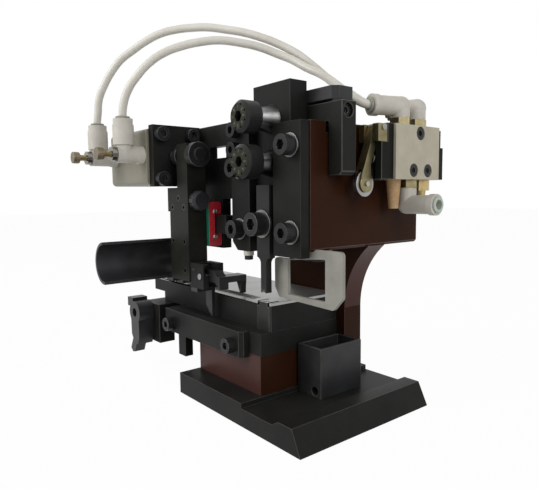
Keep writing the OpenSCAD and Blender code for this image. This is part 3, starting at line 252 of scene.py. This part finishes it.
# Base plate: a ground steel plate with a bevelled right side and a channel for the lower tooling,
# black oxided. Its four cap screws come from below into the foot.
def corner_normals(mesh):
    """A normal for each face corner, leaning to the largest of the faces that meet smoothly there."""
    mesh.normal_update()
    mesh.faces.index_update()
    weights = [(face.calc_area() * 1e6) ** 2 for face in mesh.faces]
    smooth_within = math.cos(math.radians(50))
    normals = []
    for face in mesh.faces:
        for corner in face.loops:
            lean = Vector()
            for other in corner.vert.link_faces:
                if other.normal.dot(face.normal) > smooth_within:
                    lean += weights[other.index] * other.normal
            normals.append(lean.normalized() if lean.length > 1e-12 else face.normal.copy())
    return normals


def piece_of(mesh, name, finishes, body):
    """Links a finished bmesh as one piece that rides on a body."""
    data = bpy.data.meshes.new(name)
    normals = corner_normals(mesh)
    mesh.to_mesh(data)
    mesh.free()
    data.set_sharp_from_angle(angle=math.radians(30))
    data.normals_split_custom_set(normals)
    for finish in finishes:
        data.materials.append(finish)
    piece = bpy.data.objects.new(name, data)
    bpy.context.scene.collection.objects.link(piece)
    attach(piece, body)
    return piece


def merged_copy(node):
    """A bmesh of a CAD node with its loose triangles joined."""
    mesh = bmesh.new()
    mesh.from_mesh(frame["nodes"][node].data)
    bmesh.ops.remove_doubles(mesh, verts=mesh.verts, dist=2e-6)
    return mesh


def broken_edges(node, width, finish, edge_finish, name, cuts=(), zones=()):
    """Replaces a CAD node by a copy whose sharp edges are broken by a bevel, width millimetres wide.

    cuts are planes (point, normal) that part its faces, and zones are (finish, test of a face's middle in
    millimetres and its normal) for the places that have another finish."""
    sharp = math.radians(35)
    mesh = merged_copy(node)
    bmesh.ops.dissolve_limit(mesh, angle_limit=math.radians(0.5), verts=mesh.verts, edges=mesh.edges)
    for point, normal in cuts:
        bmesh.ops.bisect_plane(mesh, geom=mesh.verts[:] + mesh.edges[:] + mesh.faces[:], plane_co=point,
                               plane_no=normal)
    corners = [edge for edge in mesh.edges if edge.is_manifold and edge.calc_face_angle(0) > sharp]
    made = bmesh.ops.bevel(mesh, geom=corners, offset=width / 1000, offset_type="OFFSET", segments=2,
                           profile=0.5, affect="EDGES", clamp_overlap=True, material=-1)
    for face in mesh.faces:
        face.smooth = True
    for face in made["faces"]:
        face.material_index = 1
    for index, (_, inside) in enumerate(zones):
        for face in mesh.faces:
            if inside(face.calc_center_median() * 1000, face.normal):
                face.material_index = 2 + index
    finishes = [finish, edge_finish] + [zone[0] for zone in zones]
    piece = piece_of(mesh, name, finishes, frame["nodes"][node]["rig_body"])
    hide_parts(node)


blackened = coated("black_oxide", dark=(0.009, 0.009, 0.0085), light=(0.018, 0.018, 0.0165), patch=0.02,
                   roughness=(0.36, 0.52), grain=0.0005, bump=0.18, squeeze=(1, 1, 6),
                   worn=(0.035, 0.033, 0.028), Specular_IOR_Level=0.09)
rubbed = coated("rubbed_edge", dark=(0.026, 0.026, 0.024), light=(0.065, 0.062, 0.055), patch=0.006,
                roughness=(0.3, 0.45), grain=0.0005, bump=0.1, Specular_IOR_Level=0.25)
broken_edges("base_plate", 0.5, blackened, rubbed, "black_base_plate")


def set_down(part, mesh, place, toward):
    """Adds a part to a mesh, with its origin at place, in millimetres, and its Z axis along toward."""
    aim = Vector(toward).to_track_quat("Z", "Y").to_matrix().to_4x4()
    bmesh.ops.transform(part, matrix=Matrix.Translation(Vector(place) / 1000) @ aim, verts=part.verts)
    spare = bpy.data.meshes.new("spare")
    part.to_mesh(spare)
    part.free()
    mesh.from_mesh(spare)
    bpy.data.meshes.remove(spare)


def turned(mesh, outline, place, toward, steps=48, teeth_depth=0.0):
    """Adds a closed outline of (radius, height) points, in millimetres, spun about the axis through place.

    With teeth_depth, every second rib of the widest ring is drawn in, which makes a straight knurl."""
    part = bmesh.new()
    line = [part.verts.new((radius / 1000, 0, height / 1000)) for radius, height in outline]
    edges = [part.edges.new(pair) for pair in zip(line, line[1:] + line[:1])]
    bmesh.ops.spin(part, geom=line + edges, cent=(0, 0, 0), axis=(0, 0, 1), angle=2 * math.pi, steps=steps,
                   use_merge=True)
    bmesh.ops.remove_doubles(part, verts=part.verts, dist=1e-7)
    widest = max(radius for radius, _ in outline) / 1000
    for vert in part.verts:
        turn = round(math.atan2(vert.co.y, vert.co.x) / (2 * math.pi) * steps)
        if teeth_depth and turn % 2 and vert.co.xy.length > widest - 1e-6:
            vert.co.xy *= 1 - teeth_depth / 1000 / widest
    bmesh.ops.recalc_face_normals(part, faces=part.faces)
    for face in part.faces:
        face.smooth = True
    set_down(part, mesh, place, toward)


def screw_heads(node):
    """The middle of each screw head's face, its outward direction and its radius, in millimetres."""
    mesh = merged_copy(node)
    left = set(mesh.verts)
    found = []
    while left:
        island = [left.pop()]
        for vert in island:
            for edge in vert.link_edges:
                other = edge.other_vert(vert)
                if other in left:
                    left.remove(other)
                    island.append(other)
        points = [vert.co * 1000 for vert in island]
        low = Vector([min(point[k] for point in points) for k in range(3)])
        high = Vector([max(point[k] for point in points) for k in range(3)])
        middle = (low + high) / 2
        axis = max(range(3), key=lambda k: high[k] - low[k])
        radius = (high[axis - 1] - low[axis - 1]) / 2
        for end, sign in ((low, -1), (high, 1)):
            face = [point for point in points if abs(point[axis] - end[axis]) < 0.05]
            reach = max(abs(point[axis - 1] - middle[axis - 1]) for point in face)
            if reach > 0.9 * radius:
                outward = Vector([sign if k == axis else 0 for k in range(3)])
                place = Vector([end[k] if k == axis else middle[k] for k in range(3)])
                found.append((place, outward, radius))
    mesh.free()
    return found


def cap_screws(node, edge=0.2):
    """A node of cap screws with broken edges, and a straight knurl round each head."""
    broken_edges(node, edge, screw_black, screw_edge, "black_" + node)
    knurl = bmesh.new()
    tooth_width = 0.75
    for place, outward, radius in screw_heads(node):
        teeth = round(2 * math.pi * radius / tooth_width)
        root, rim = radius - 0.3, radius + 0.05
        high, low = -0.17 * radius, -1.0 * radius
        turned(knurl, [(root, high), (radius, high), (rim, high - 0.12), (rim, low), (root, low)],
               place, outward, steps=2 * teeth, teeth_depth=0.2)
    body = frame["nodes"][node]["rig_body"]
    piece_of(knurl, "knurled_heads_" + node, [screw_black], body)


screw_black = coated("screw_black", dark=(0.009, 0.009, 0.0095), light=(0.02, 0.02, 0.0205),
                     patch=0.004, roughness=(0.28, 0.42), grain=0.0004, bump=0.1,
                     Specular_IOR_Level=0.22)
screw_edge = coated("screw_edge", dark=(0.04, 0.04, 0.04), light=(0.09, 0.09, 0.09), patch=0.004,
                    roughness=(0.25, 0.4), grain=0.0004, bump=0.1, Specular_IOR_Level=0.35)
cap_screws("base_screws")


# Frame casting: foot, column and head in one iron casting, painted dark red-brown over a faint
# casting grain. It is a little glossier, and coloured lighter as painted light, on the foot's front, where
# the lamp falls, and on the column's side, as a painted reflection of the white room. Its corners are a
# thin paler line, a painted highlight.
def corners_of(node):
    """The lowest and the highest corner of a CAD node, in millimetres."""
    return [[value * 1000 for value in corner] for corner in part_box(node)]


brown = coated("red_brown_paint", dark=(0.026, 0.0092, 0.0042), light=(0.038, 0.0138, 0.0068),
               patch=0.03, roughness=(0.3, 0.42), grain=0.0006, bump=0.25, Specular_IOR_Level=0.05)
# A lighter copy of the brown paint, a touch glossier: painted light on the foot's front and a painted
# reflection on the column's side.
painted_light_brown = coated("red_brown_painted_light", dark=(0.056, 0.0225, 0.018), light=(0.073, 0.032, 0.0255),
                      patch=0.03, roughness=(0.28, 0.38), grain=0.0006, bump=0.06,
                      Specular_IOR_Level=0.12)
# Painted highlight: a paler copy of the brown paint on the bevelled corners, where the edges catch the
# light.
painted_edge_highlight = coated("red_brown_painted_highlight", dark=(0.12, 0.055, 0.042), light=(0.19, 0.095, 0.075),
                    patch=0.008, roughness=(0.3, 0.4), grain=0.0006, bump=0.1)
foot_margin, head_margin = 1, 1.5
foot_high = corners_of("track_base")[0][2] + foot_margin
head_low = corners_of("guard")[1][2] - head_margin
broken_edges("frame_casting", 0.5, brown, painted_edge_highlight, "painted_frame", zones=[
    # Painted light on the foot's front, and a painted reflection on the column's right side.
    (painted_light_brown, lambda middle, normal: middle.z < foot_high and normal.y < -0.9),
    (painted_light_brown, lambda middle, normal: foot_high < middle.z < head_low and normal.x > 0.02),
])


# Track: a black base bar on the foot, and on it the strip track, a black block with a thin ground plate
# on top that stays bright where the terminal strip slides. The front rail is screwed to the base.
broken_edges("track_base", 0.35, blackened, rubbed, "black_track_base")
ground = coated("ground_steel", dark=(0.3, 0.3, 0.29), light=(0.4, 0.4, 0.385), patch=0.012,
                roughness=(0.3, 0.48), grain=0.0005, bump=0.18, metallic=0.85, squeeze=(1, 7, 1),
                worn=(0.52, 0.52, 0.5))
plate_thickness = 1.25
plate_low = corners_of("track_block")[1][2] - plate_thickness
broken_edges("track_block", 0.25, blackened, rubbed, "strip_track",
             cuts=[((0, 0, plate_low / 1000), (0, 0, 1))],
             zones=[(ground, lambda middle, normal: middle.z > plate_low)])
broken_edges("front_rail", 0.4, blackened, rubbed, "black_front_rail")
cap_screws("rail_screws")


# Anvil: a hardened insert in the track's front corner, dark on its sides and ground on top, with a
# saddle for each crimper.
hardened = coated("hardened_steel", dark=(0.014, 0.0138, 0.0128), light=(0.03, 0.029, 0.026),
                  patch=0.008, roughness=(0.3, 0.42), grain=0.0004, bump=0.12, squeeze=(1, 1, 8),
                  worn=(0.06, 0.057, 0.048), Specular_IOR_Level=0.2)
broken_edges("anvil", 0.12, hardened, ground, "hardened_anvil",
             zones=[(ground, lambda middle, normal: normal.z > 0.6)])


# Die holder: a black steel block that stands in the channel, with an open pocket for the lower die and
# a set screw hole at its foot.
slate = coated("slate_oxide", dark=(0.015, 0.0155, 0.0165), light=(0.03, 0.031, 0.033), patch=0.012,
               roughness=(0.3, 0.42), grain=0.0004, bump=0.12, squeeze=(6, 1, 1),
               worn=(0.055, 0.055, 0.052), Specular_IOR_Level=0.26)
broken_edges("die_holder", 0.4, slate, rubbed, "black_die_holder")


# Guard: bent 1.6 mm sheet under the head, painted light grey, with a window through which the crimp
# is watched. Two small screws hold its flange.
pale_paint = coated("pale_grey_paint", dark=(0.22, 0.212, 0.182), light=(0.33, 0.322, 0.285),
                    patch=0.014, roughness=(0.35, 0.5), grain=0.0006, bump=0.12,
                    worn=(0.2, 0.185, 0.16))
paint_edge = coated("pale_grey_edge", dark=(0.55, 0.54, 0.5), light=(0.68, 0.67, 0.63), patch=0.006,
                    roughness=(0.35, 0.5), grain=0.0006, bump=0.08)
broken_edges("guard", 0.3, pale_paint, paint_edge, "painted_guard")


# Ram: a black square slide in the head, with a ledge behind its tall top block. On the ledge lies the
# trip slab, and the trip bar reaches through the head's side and hangs down beside the valve's lever.
broken_edges("ram_block", 0.35, blackened, rubbed, "black_ram")
broken_edges("trip_slab", 0.35, slate, rubbed, "black_trip_slab")
broken_edges("trip_bar", 0.45, blackened, rubbed, "black_trip_bar")
cap_screws("trip_screws")


# Cover plates: two black steel plates that close the ram's guide at the front, held by six cap screws,
# the larger four on bright washers. Under the left one a bush and a screw take up the gib's play.
broken_edges("left_cover_plate", 0.35, blackened, rubbed, "black_left_cover")
broken_edges("right_cover_plate", 0.35, blackened, rubbed, "black_right_cover")
bright_steel = coated("bright_steel", dark=(0.27, 0.27, 0.265), light=(0.42, 0.42, 0.41), patch=0.01,
                      roughness=(0.24, 0.4), grain=0.0004, bump=0.1, metallic=1.0, squeeze=(1, 8, 1),
                      worn=(0.22, 0.21, 0.18))
washer_steel = coated("washer_steel", dark=(0.16, 0.16, 0.155), light=(0.26, 0.26, 0.25), patch=0.006,
                      roughness=(0.3, 0.45), grain=0.0004, bump=0.1, metallic=1.0,
                      worn=(0.12, 0.115, 0.1))
broken_edges("cover_washers", 0.15, washer_steel, washer_steel, "bright_cover_washers")
cap_screws("cover_screws")
screw_reach, bush_height = 2.05, 2.2
bush_low = corners_of("gib_adjuster")[0][2] + screw_reach
pale_bush = coated("pale_bush", dark=(0.5, 0.48, 0.42), light=(0.62, 0.6, 0.54), patch=0.003,
                   roughness=(0.35, 0.45), grain=0.0004, bump=0.1)
broken_edges("gib_adjuster", 0.15, screw_black, screw_edge, "gib_adjuster_bush",
             zones=[(pale_bush, lambda middle, normal: bush_low < middle.z < bush_low + bush_height)])


# Crimpers: two thin hardened blades, one for the wire and one for the insulation, ground and dark, with
# bright working mouths. One large cap screw and a thick washer hold both on the ram's pad.
tool_steel = coated("tool_steel", dark=(0.011, 0.011, 0.0105), light=(0.022, 0.022, 0.021), patch=0.01,
                    roughness=(0.28, 0.42), grain=0.0004, bump=0.14, squeeze=(8, 1, 1),
                    worn=(0.05, 0.048, 0.043), Specular_IOR_Level=0.2)
mouth_height = 2.6
mouth_high = corners_of("wire_crimper")[0][2] + mouth_height
for crimper in ("wire_crimper", "insulation_crimper"):
    broken_edges(crimper, 0.15, tool_steel, rubbed, "dark_" + crimper,
                 zones=[(ground, lambda middle, normal: middle.z < mouth_high and abs(normal.y) < 0.5)])
broken_edges("crimper_washer", 0.15, washer_steel, washer_steel, "bright_crimper_washer")
cap_screws("crimper_bolt")


# Setting dials: turned steel with knurled, blackened barrels, dark etched faces with a hexagon socket,
# and bright cones where they meet the ram. Plain pale numbers mark the eight settings.
etched = coated("etched_face", dark=(0.012, 0.0135, 0.008), light=(0.032, 0.036, 0.021), patch=0.003,
                roughness=(0.4, 0.55), grain=0.0004, bump=0.1, worn=(0.06, 0.066, 0.042),
                Specular_IOR_Level=0.12)
turned_steel = coated("turned_steel", dark=(0.17, 0.17, 0.168), light=(0.27, 0.27, 0.265), patch=0.006,
                      roughness=(0.25, 0.4), grain=0.0003, bump=0.12, metallic=1.0, squeeze=(1, 10, 1),
                      worn=(0.07, 0.068, 0.06))
number_fill = coated("number_fill", dark=(0.1, 0.108, 0.08), light=(0.16, 0.17, 0.13), patch=0.002,
                     roughness=(0.5, 0.6), grain=0.0004, bump=0.05)


def middle_of(node):
    """The middle of a CAD node's box, in millimetres."""
    low, high = corners_of(node)
    return [(low[k] + high[k]) / 2 for k in range(3)]


def dial_numbers(dial, place, radius):
    """The numbers 1 to 8 in a ring round a place on a dial's face, each with its head outwards."""
    settings, figure_height, figure_rise = 8, 1.9, 0.04
    ring = bmesh.new()
    for setting in range(settings):
        figure = bpy.data.curves.new("figure", "FONT")
        figure.body = str(setting + 1)
        figure.size = figure_height / 1000
        figure.extrude = figure_rise / 1000
        figure.align_x = "CENTER"
        figure.align_y = "CENTER"
        holder = bpy.data.objects.new("figure", figure)
        flat = bpy.data.meshes.new_from_object(holder)
        turn = Matrix.Rotation(setting * 2 * math.pi / settings, 4, "Y")
        stand = Matrix.Rotation(math.pi / 2, 4, "X")
        lift = Matrix.Translation((0, 0, radius / 1000))
        flat.transform(Matrix.Translation(Vector(place) / 1000) @ turn @ lift @ stand)
        ring.from_mesh(flat)
        bpy.data.meshes.remove(flat)
        bpy.data.objects.remove(holder)
        bpy.data.curves.remove(figure)
    piece_of(ring, "numbers_" + dial, [number_fill], dial)


barrel_length, tooth_width, number_inset = 8.2, 0.9, 3.1
for dial in ("upper_dial", "lower_dial"):
    low, high = corners_of(dial)
    dial_x, _, dial_z = middle_of(dial)
    radius, front = (high[0] - low[0]) / 2, low[1]
    broken_edges(dial, 0.2, tool_steel, rubbed, "turned_" + dial, zones=[
        (etched, lambda middle, normal: middle.y < front + 0.1 and normal.y < -0.9),
        (turned_steel, lambda middle, normal: middle.y > front + barrel_length),
    ])
    grip = bmesh.new()
    teeth = round(2 * math.pi * radius / tooth_width)
    root, rim = radius - 0.4, radius + 0.06
    turned(grip, [(root, -1.9), (radius, -1.9), (rim, -2.1), (rim, -7.0), (radius, -7.2), (root, -7.2)],
           (dial_x, front, dial_z), (0, -1, 0), steps=2 * teeth, teeth_depth=0.25)
    piece_of(grip, "knurled_" + dial, [tool_steel], dial)
    dial_numbers(dial, (dial_x, front, dial_z), radius - number_inset)


# Bracket: the black plate behind the left cover that carries the cylinder's plate and the guide rail.
# Small cap screws hold them from the back and the front.
broken_edges("bracket", 0.35, blackened, rubbed, "black_bracket")
broken_edges("cylinder_plate", 0.35, blackened, rubbed, "black_cylinder_plate")
cap_screws("small_screws", edge=0.12)


# Feed cylinder: a short square cylinder of anodised aluminium with rounded long edges, screwed through
# its plate. The ground rod drives the carriage and ends in a thread with a nut on each side of the bar.
anodised = coated("anodised", dark=(0.165, 0.152, 0.108), light=(0.23, 0.215, 0.158), patch=0.02,
                  roughness=(0.35, 0.5), grain=0.0004, bump=0.12, squeeze=(0.2, 1, 1),
                  worn=(0.28, 0.265, 0.215))
anodised_edge = coated("anodised_edge", dark=(0.32, 0.31, 0.26), light=(0.42, 0.41, 0.35), patch=0.01,
                       roughness=(0.3, 0.4), grain=0.0004, bump=0.1)
broken_edges("cylinder_body", 0.3, anodised, anodised_edge, "anodised_cylinder")
cap_screws("cylinder_screws")
nut_right = corners_of("rod_nuts")[1][0]
broken_edges("piston_rod", 0.2, bright_steel, bright_steel, "ground_piston_rod",
             zones=[(screw_black, lambda middle, normal: middle.x > nut_right - 1)])
broken_edges("rod_nuts", 0.25, screw_black, screw_edge, "black_rod_nuts")


def thread(mesh, place, toward, radius, length, pitch):
    """Adds a helical ridge round a shank, from place on towards its end, in millimetres."""
    part = bmesh.new()
    turns = length / pitch
    steps = round(20 * turns)
    ridge = [(radius - 0.05, -0.4 * pitch), (radius + 0.3 * pitch, 0), (radius - 0.05, 0.4 * pitch)]
    line = [part.verts.new((reach / 1000, 0, height / 1000)) for reach, height in ridge]
    edges = [part.edges.new(pair) for pair in zip(line, line[1:])]
    bmesh.ops.spin(part, geom=line + edges, cent=(0, 0, 0), axis=(0, 0, 1),
                   dvec=(0, 0, length / 1000 / steps), angle=2 * math.pi * turns, steps=steps)
    bmesh.ops.recalc_face_normals(part, faces=part.faces)
    set_down(part, mesh, place, toward)


_, rod_y, rod_z = middle_of("piston_rod")
rod_tip = corners_of("piston_rod")[1][0] - 0.3
rod_thread = bmesh.new()
thread(rod_thread, (nut_right, rod_y, rod_z), (1, 0, 0), radius=2.85, length=rod_tip - nut_right, pitch=0.8)
piece_of(rod_thread, "rod_end_thread", [screw_edge], "carriage")


# Speed controllers: pale moulded banjo fittings on brass stems at the cylinder's two ports, each with a
# plated nut, a brass needle screw with a dull knurled knob, and a grey release ring round its tube.
pale_fitting = coated("pale_fitting", dark=(0.56, 0.53, 0.47), light=(0.65, 0.62, 0.56), patch=0.006,
                      roughness=(0.4, 0.52), grain=0.0006, bump=0.06, worn=(0.5, 0.47, 0.41),
                      Specular_IOR_Level=0.25)
brass = coated("brass", dark=(0.32, 0.24, 0.11), light=(0.45, 0.36, 0.18), patch=0.004,
               roughness=(0.25, 0.4), grain=0.0004, bump=0.1, metallic=1.0, worn=(0.2, 0.14, 0.07))
plated = coated("nickel_plate", dark=(0.2, 0.195, 0.175), light=(0.32, 0.31, 0.285), patch=0.004,
                roughness=(0.15, 0.28), grain=0.0004, bump=0.05, metallic=1.0)
dull_knob = coated("dull_knob", dark=(0.14, 0.115, 0.075), light=(0.24, 0.2, 0.14), patch=0.003,
                   roughness=(0.3, 0.45), grain=0.0004, bump=0.1, metallic=1.0, worn=(0.32, 0.28, 0.2))
banjo_length, nut_rise = 14.15, 1.5
stem_front = corners_of("cylinder_body")[0][1] + 0.02
nut_back = stem_front - banjo_length
nut_high = corners_of("needle_left")[1][2] + nut_rise
broken_edges("speed_controllers", 0.2, pale_fitting, pale_fitting,
             "pale_speed_controllers", zones=[
                 (brass, lambda middle, normal: middle.y > stem_front),
                 (plated, lambda middle, normal: middle.y < nut_back and middle.z < nut_high),
             ])
ring_grey = coated("grey_ring", dark=(0.3, 0.3, 0.25), light=(0.4, 0.4, 0.34), patch=0.003,
                   roughness=(0.35, 0.5), grain=0.0004, bump=0.1)


def release_ring(mesh, mouth, outward):
    """Adds the flanged ring that is pressed to let the tube go, standing 1 mm out of a collar."""
    bore, sleeve, flange = 2.15, 2.9, 3.5
    turned(mesh, [(bore, -0.6), (sleeve, -0.6), (sleeve, 0.35), (flange, 0.5), (flange, 1.0), (3.3, 1.15),
                  (2.3, 1.15), (bore, 1.0)], mouth, outward)


knob_length, shank_start = 3.4, 3.5
collar_y, collar_high = -55.46, 137.0
release_rings = bmesh.new()
for needle in ("needle_left", "needle_right"):
    needle_x, _, needle_z = middle_of(needle)
    needle_front = corners_of(needle)[0][1]
    broken_edges(needle, 0.15, brass, brass, "brass_" + needle,
                 zones=[(dull_knob, lambda middle, normal: middle.y < needle_front + knob_length)])
    details = bmesh.new()
    turned(details, [(2.6, -0.5), (3.0, -0.5), (3.06, -0.6), (3.06, -2.8), (3.0, -2.9), (2.6, -2.9)],
           (needle_x, needle_front, needle_z), (0, -1, 0), teeth_depth=0.2)
    thread(details, (needle_x, needle_front + shank_start, needle_z), (0, 1, 0), radius=1.5, length=3.6,
           pitch=0.5)
    piece_of(details, "knurl_and_thread_" + needle, [dull_knob], needle)
    release_ring(release_rings, (needle_x, collar_y, collar_high), (0, 0, 1))
piece_of(release_rings, "grey_release_rings", [ring_grey], "frame")


# Feed carriage: the post that the rod drives, a bright guide block behind it with green end caps and red
# seals, and the blackened rail on the bracket that it runs on. A small knob sets the finger's height.
post_finish = coated("post_oxide", dark=(0.008, 0.008, 0.0062), light=(0.016, 0.016, 0.0125),
                     patch=0.012, roughness=(0.34, 0.5), grain=0.0005, bump=0.16, squeeze=(6, 6, 1),
                     worn=(0.04, 0.038, 0.029), Specular_IOR_Level=0.11)
broken_edges("feed_post", 0.3, post_finish, rubbed, "black_feed_post")
cap_screws("post_screws", edge=0.1)
broken_edges("feed_knob", 0.25, slate, screw_edge, "black_feed_knob")
broken_edges("guide_block", 0.2, bright_steel, bright_steel, "ground_guide_block")
broken_edges("guide_rail", 0.2, blackened, rubbed, "black_guide_rail")
green = coated("green_cap", dark=(0.004, 0.19, 0.11), light=(0.009, 0.27, 0.165), patch=0.004,
               roughness=(0.35, 0.45), grain=0.0005, bump=0.1, worn=(0.02, 0.33, 0.22))
broken_edges("guide_end_cap", 0.3, green, green, "green_end_caps")
red = coated("red_seal", dark=(0.43, 0.012, 0.025), light=(0.57, 0.024, 0.042), patch=0.004,
             roughness=(0.35, 0.45), grain=0.0005, bump=0.1, worn=(0.6, 0.06, 0.08))
broken_edges("guide_end_seal", 0.12, red, red, "red_end_seals")
seal_low, seal_high = corners_of("guide_end_seal")
screw_y, seal_z, screw_spread = seal_low[1] + 2.9, middle_of("guide_end_seal")[2], 6.3
pan_head = [(0, -0.3), (1.25, -0.3), (1.25, 0.35), (0.95, 0.62), (0.62, 0.68), (0.55, 0.3), (0, 0.3)]
seal_screws = bmesh.new()
for x, outward in ((seal_low[0], (-1, 0, 0)), (seal_high[0], (1, 0, 0))):
    for side in (-1, 1):
        turned(seal_screws, pan_head, (x, screw_y, seal_z + side * screw_spread), outward, steps=24)
piece_of(seal_screws, "bright_seal_screws", [bright_steel], "carriage")


# Feed finger: a forked holder clamped on the post, and on its pin the pawl that pushes the strip. A
# thin blade hangs from the holder into the groove behind the front rail.
broken_edges("finger_holder", 0.25, blackened, rubbed, "black_finger_holder")
broken_edges("feed_pawl", 0.2, tool_steel, rubbed, "dark_feed_pawl")
broken_edges("pawl_pin", 0.15, bright_steel, bright_steel, "bright_pawl_pin")
broken_edges("guide_blade", 0.2, slate, rubbed, "dark_guide_blade")


# Strip guide: a bent and blackened sheet, open to the upper right, that leads the terminal strip up
# to the track.
broken_edges("strip_guide", 0.25, slate, rubbed, "black_strip_guide")


# Strip brake: a body under the track's left end, a cam lever that is swung to free the strip, and a
# thumb screw with a cross pin that sets the drag.
broken_edges("brake_body", 0.3, blackened, rubbed, "black_brake_body")
broken_edges("brake_lever", 0.5, slate, rubbed, "black_brake_lever")
broken_edges("thumb_screw", 0.15, screw_black, screw_edge, "black_thumb_screw")
thumb_x, thumb_y, grip_height = -68, -22.5, 8.6
shank_low = corners_of("thumb_screw")[0][2] + grip_height
shank_high = corners_of("track_base")[0][2] - 0.4
screw_thread = bmesh.new()
thread(screw_thread, (thumb_x, thumb_y, shank_low), (0, 0, 1), radius=2.0, length=shank_high - shank_low,
       pitch=0.7)
piece_of(screw_thread, "thumb_screw_thread", [screw_edge], "thumb_screw")


# Air valve: a pale zinc body between two black moulded caps, through-bolted to the head's side. A brass
# block on the front cap carries the roller lever, whose roller the trip bar pushes onto the plunger.
beige = coated("valve_beige", dark=(0.42, 0.38, 0.285), light=(0.51, 0.475, 0.37), patch=0.01,
               roughness=(0.35, 0.5), grain=0.0005, bump=0.12, worn=(0.38, 0.34, 0.28))
beige_edge = coated("valve_edge", dark=(0.6, 0.57, 0.5), light=(0.72, 0.7, 0.64), patch=0.006,
                    roughness=(0.3, 0.4), grain=0.0005, bump=0.08)
broken_edges("valve_body", 0.4, beige, beige_edge, "beige_valve")
moulding = coated("black_moulding", dark=(0.006, 0.0064, 0.005), light=(0.011, 0.0118, 0.0095),
                  patch=0.01, roughness=(0.4, 0.5), grain=0.0005, bump=0.12, Specular_IOR_Level=0.08)
moulding_edge = coated("moulding_edge", dark=(0.03, 0.034, 0.032), light=(0.05, 0.055, 0.052),
                       patch=0.01, roughness=(0.4, 0.5), grain=0.0005, bump=0.1)
broken_edges("valve_caps", 0.35, moulding, moulding_edge, "black_valve_caps")
broken_edges("valve_screws", 0.15, screw_black, screw_edge, "dark_valve_screws")
old_gold = coated("yellow_passivated", dark=(0.17, 0.145, 0.075), light=(0.3, 0.255, 0.14), patch=0.005,
                  roughness=(0.28, 0.42), grain=0.0004, bump=0.1, metallic=0.9, worn=(0.42, 0.38, 0.25))
pivot_low, pivot_high = corners_of("valve_pivot")
block_left, block_right = pivot_low[0] + 0.35, pivot_high[0] - 0.45
broken_edges("valve_pivot", 0.2, old_gold, old_gold, "brass_valve_pivot",
             zones=[(bright_steel, lambda middle, normal: middle.x < block_left or middle.x > block_right)])
roller_x, roller_y, roller_z = middle_of("valve_roller")
lever_reach, eye_reach = 2.05, 1.37
broken_edges("roller_lever", 0.2, old_gold, old_gold, "gold_roller_lever",
             zones=[(bright_steel, lambda middle, normal: abs(middle.x - roller_x) > lever_reach)])
lever_eyes = bmesh.new()
for side in (-1, 1):
    turned(lever_eyes, [(0, 0), (3.5, 0), (3.7, 0.15), (3.7, 0.5), (3.5, 0.66), (0, 0.66)],
           (roller_x + side * eye_reach, roller_y, roller_z), (side, 0, 0))
piece_of(lever_eyes, "lever_eyes", [old_gold], "roller_lever")
broken_edges("valve_roller", 0.2, bright_steel, bright_steel, "bright_valve_roller")
broken_edges("valve_plunger", 0.2, bright_steel, bright_steel, "bright_valve_plunger")


# Valve fittings: three moulded push in elbows on dull brass hexagons, a sintered bronze silencer at the
# exhaust and a brass plug. The free elbow takes the supply tube.
sintered = coated("sintered_bronze", dark=(0.4, 0.24, 0.11), light=(0.55, 0.36, 0.19), patch=0.0012,
                  roughness=(0.55, 0.7), grain=0.0005, bump=0.7, worn=(0.3, 0.17, 0.08))
valve_low, valve_high = corners_of("valve_body")
port_x, supply_y = valve_low[0] + 6.7, valve_low[1] + 17.3


def on_hexagon(middle, normal):
    """True on the brass hexagons of the elbows, above and below the valve."""
    hexagon_height, hexagon_reach = 3.7, 6
    above = valve_high[2] < middle.z < valve_high[2] + hexagon_height
    below = valve_low[2] - hexagon_height < middle.z < valve_low[2]
    return above or (below and abs(middle.y - supply_y) < hexagon_reach)


def on_silencer(middle, normal):
    """True on the silencer, which is the first fitting under the valve."""
    silencer_back = valve_low[1] + 11
    return middle.z < valve_low[2] and middle.y < silencer_back


def on_plug(middle, normal):
    """True on the plug, which is the last fitting under the valve, but not on the elbow's arm."""
    plug_front, plug_right = valve_low[1] + 21.5, 38.5
    return middle.z < valve_low[2] and middle.y > plug_front and middle.x < plug_right


broken_edges("valve_fittings", 0.2, pale_fitting, pale_fitting, "pale_valve_fittings",
             zones=[(old_gold, on_hexagon), (sintered, on_silencer), (brass, on_plug)])
elbow_rise = 8.9
elbow_rings = bmesh.new()
for reach, turn, port_y in ((15.5, -18, 11.5), (13, -58, 23.4)):
    aside = Vector((math.sin(math.radians(turn)), -math.cos(math.radians(turn)), 0))
    elbow = Vector((port_x, valve_low[1] + port_y, valve_high[2] + elbow_rise))
    release_ring(elbow_rings, elbow + reach * aside, aside)
piece_of(elbow_rings, "elbow_release_rings", [ring_grey], "frame")
ring_green = coated("pale_green_ring", dark=(0.42, 0.5, 0.42), light=(0.52, 0.6, 0.52), patch=0.003,
                    roughness=(0.35, 0.5), grain=0.0004, bump=0.1)
supply_reach, supply_drop = 16, 11.4
supply_ring = bmesh.new()
release_ring(supply_ring, (port_x + supply_reach, supply_y, valve_low[2] - supply_drop), (1, 0, 0))
piece_of(supply_ring, "supply_release_ring", [ring_green], "frame")
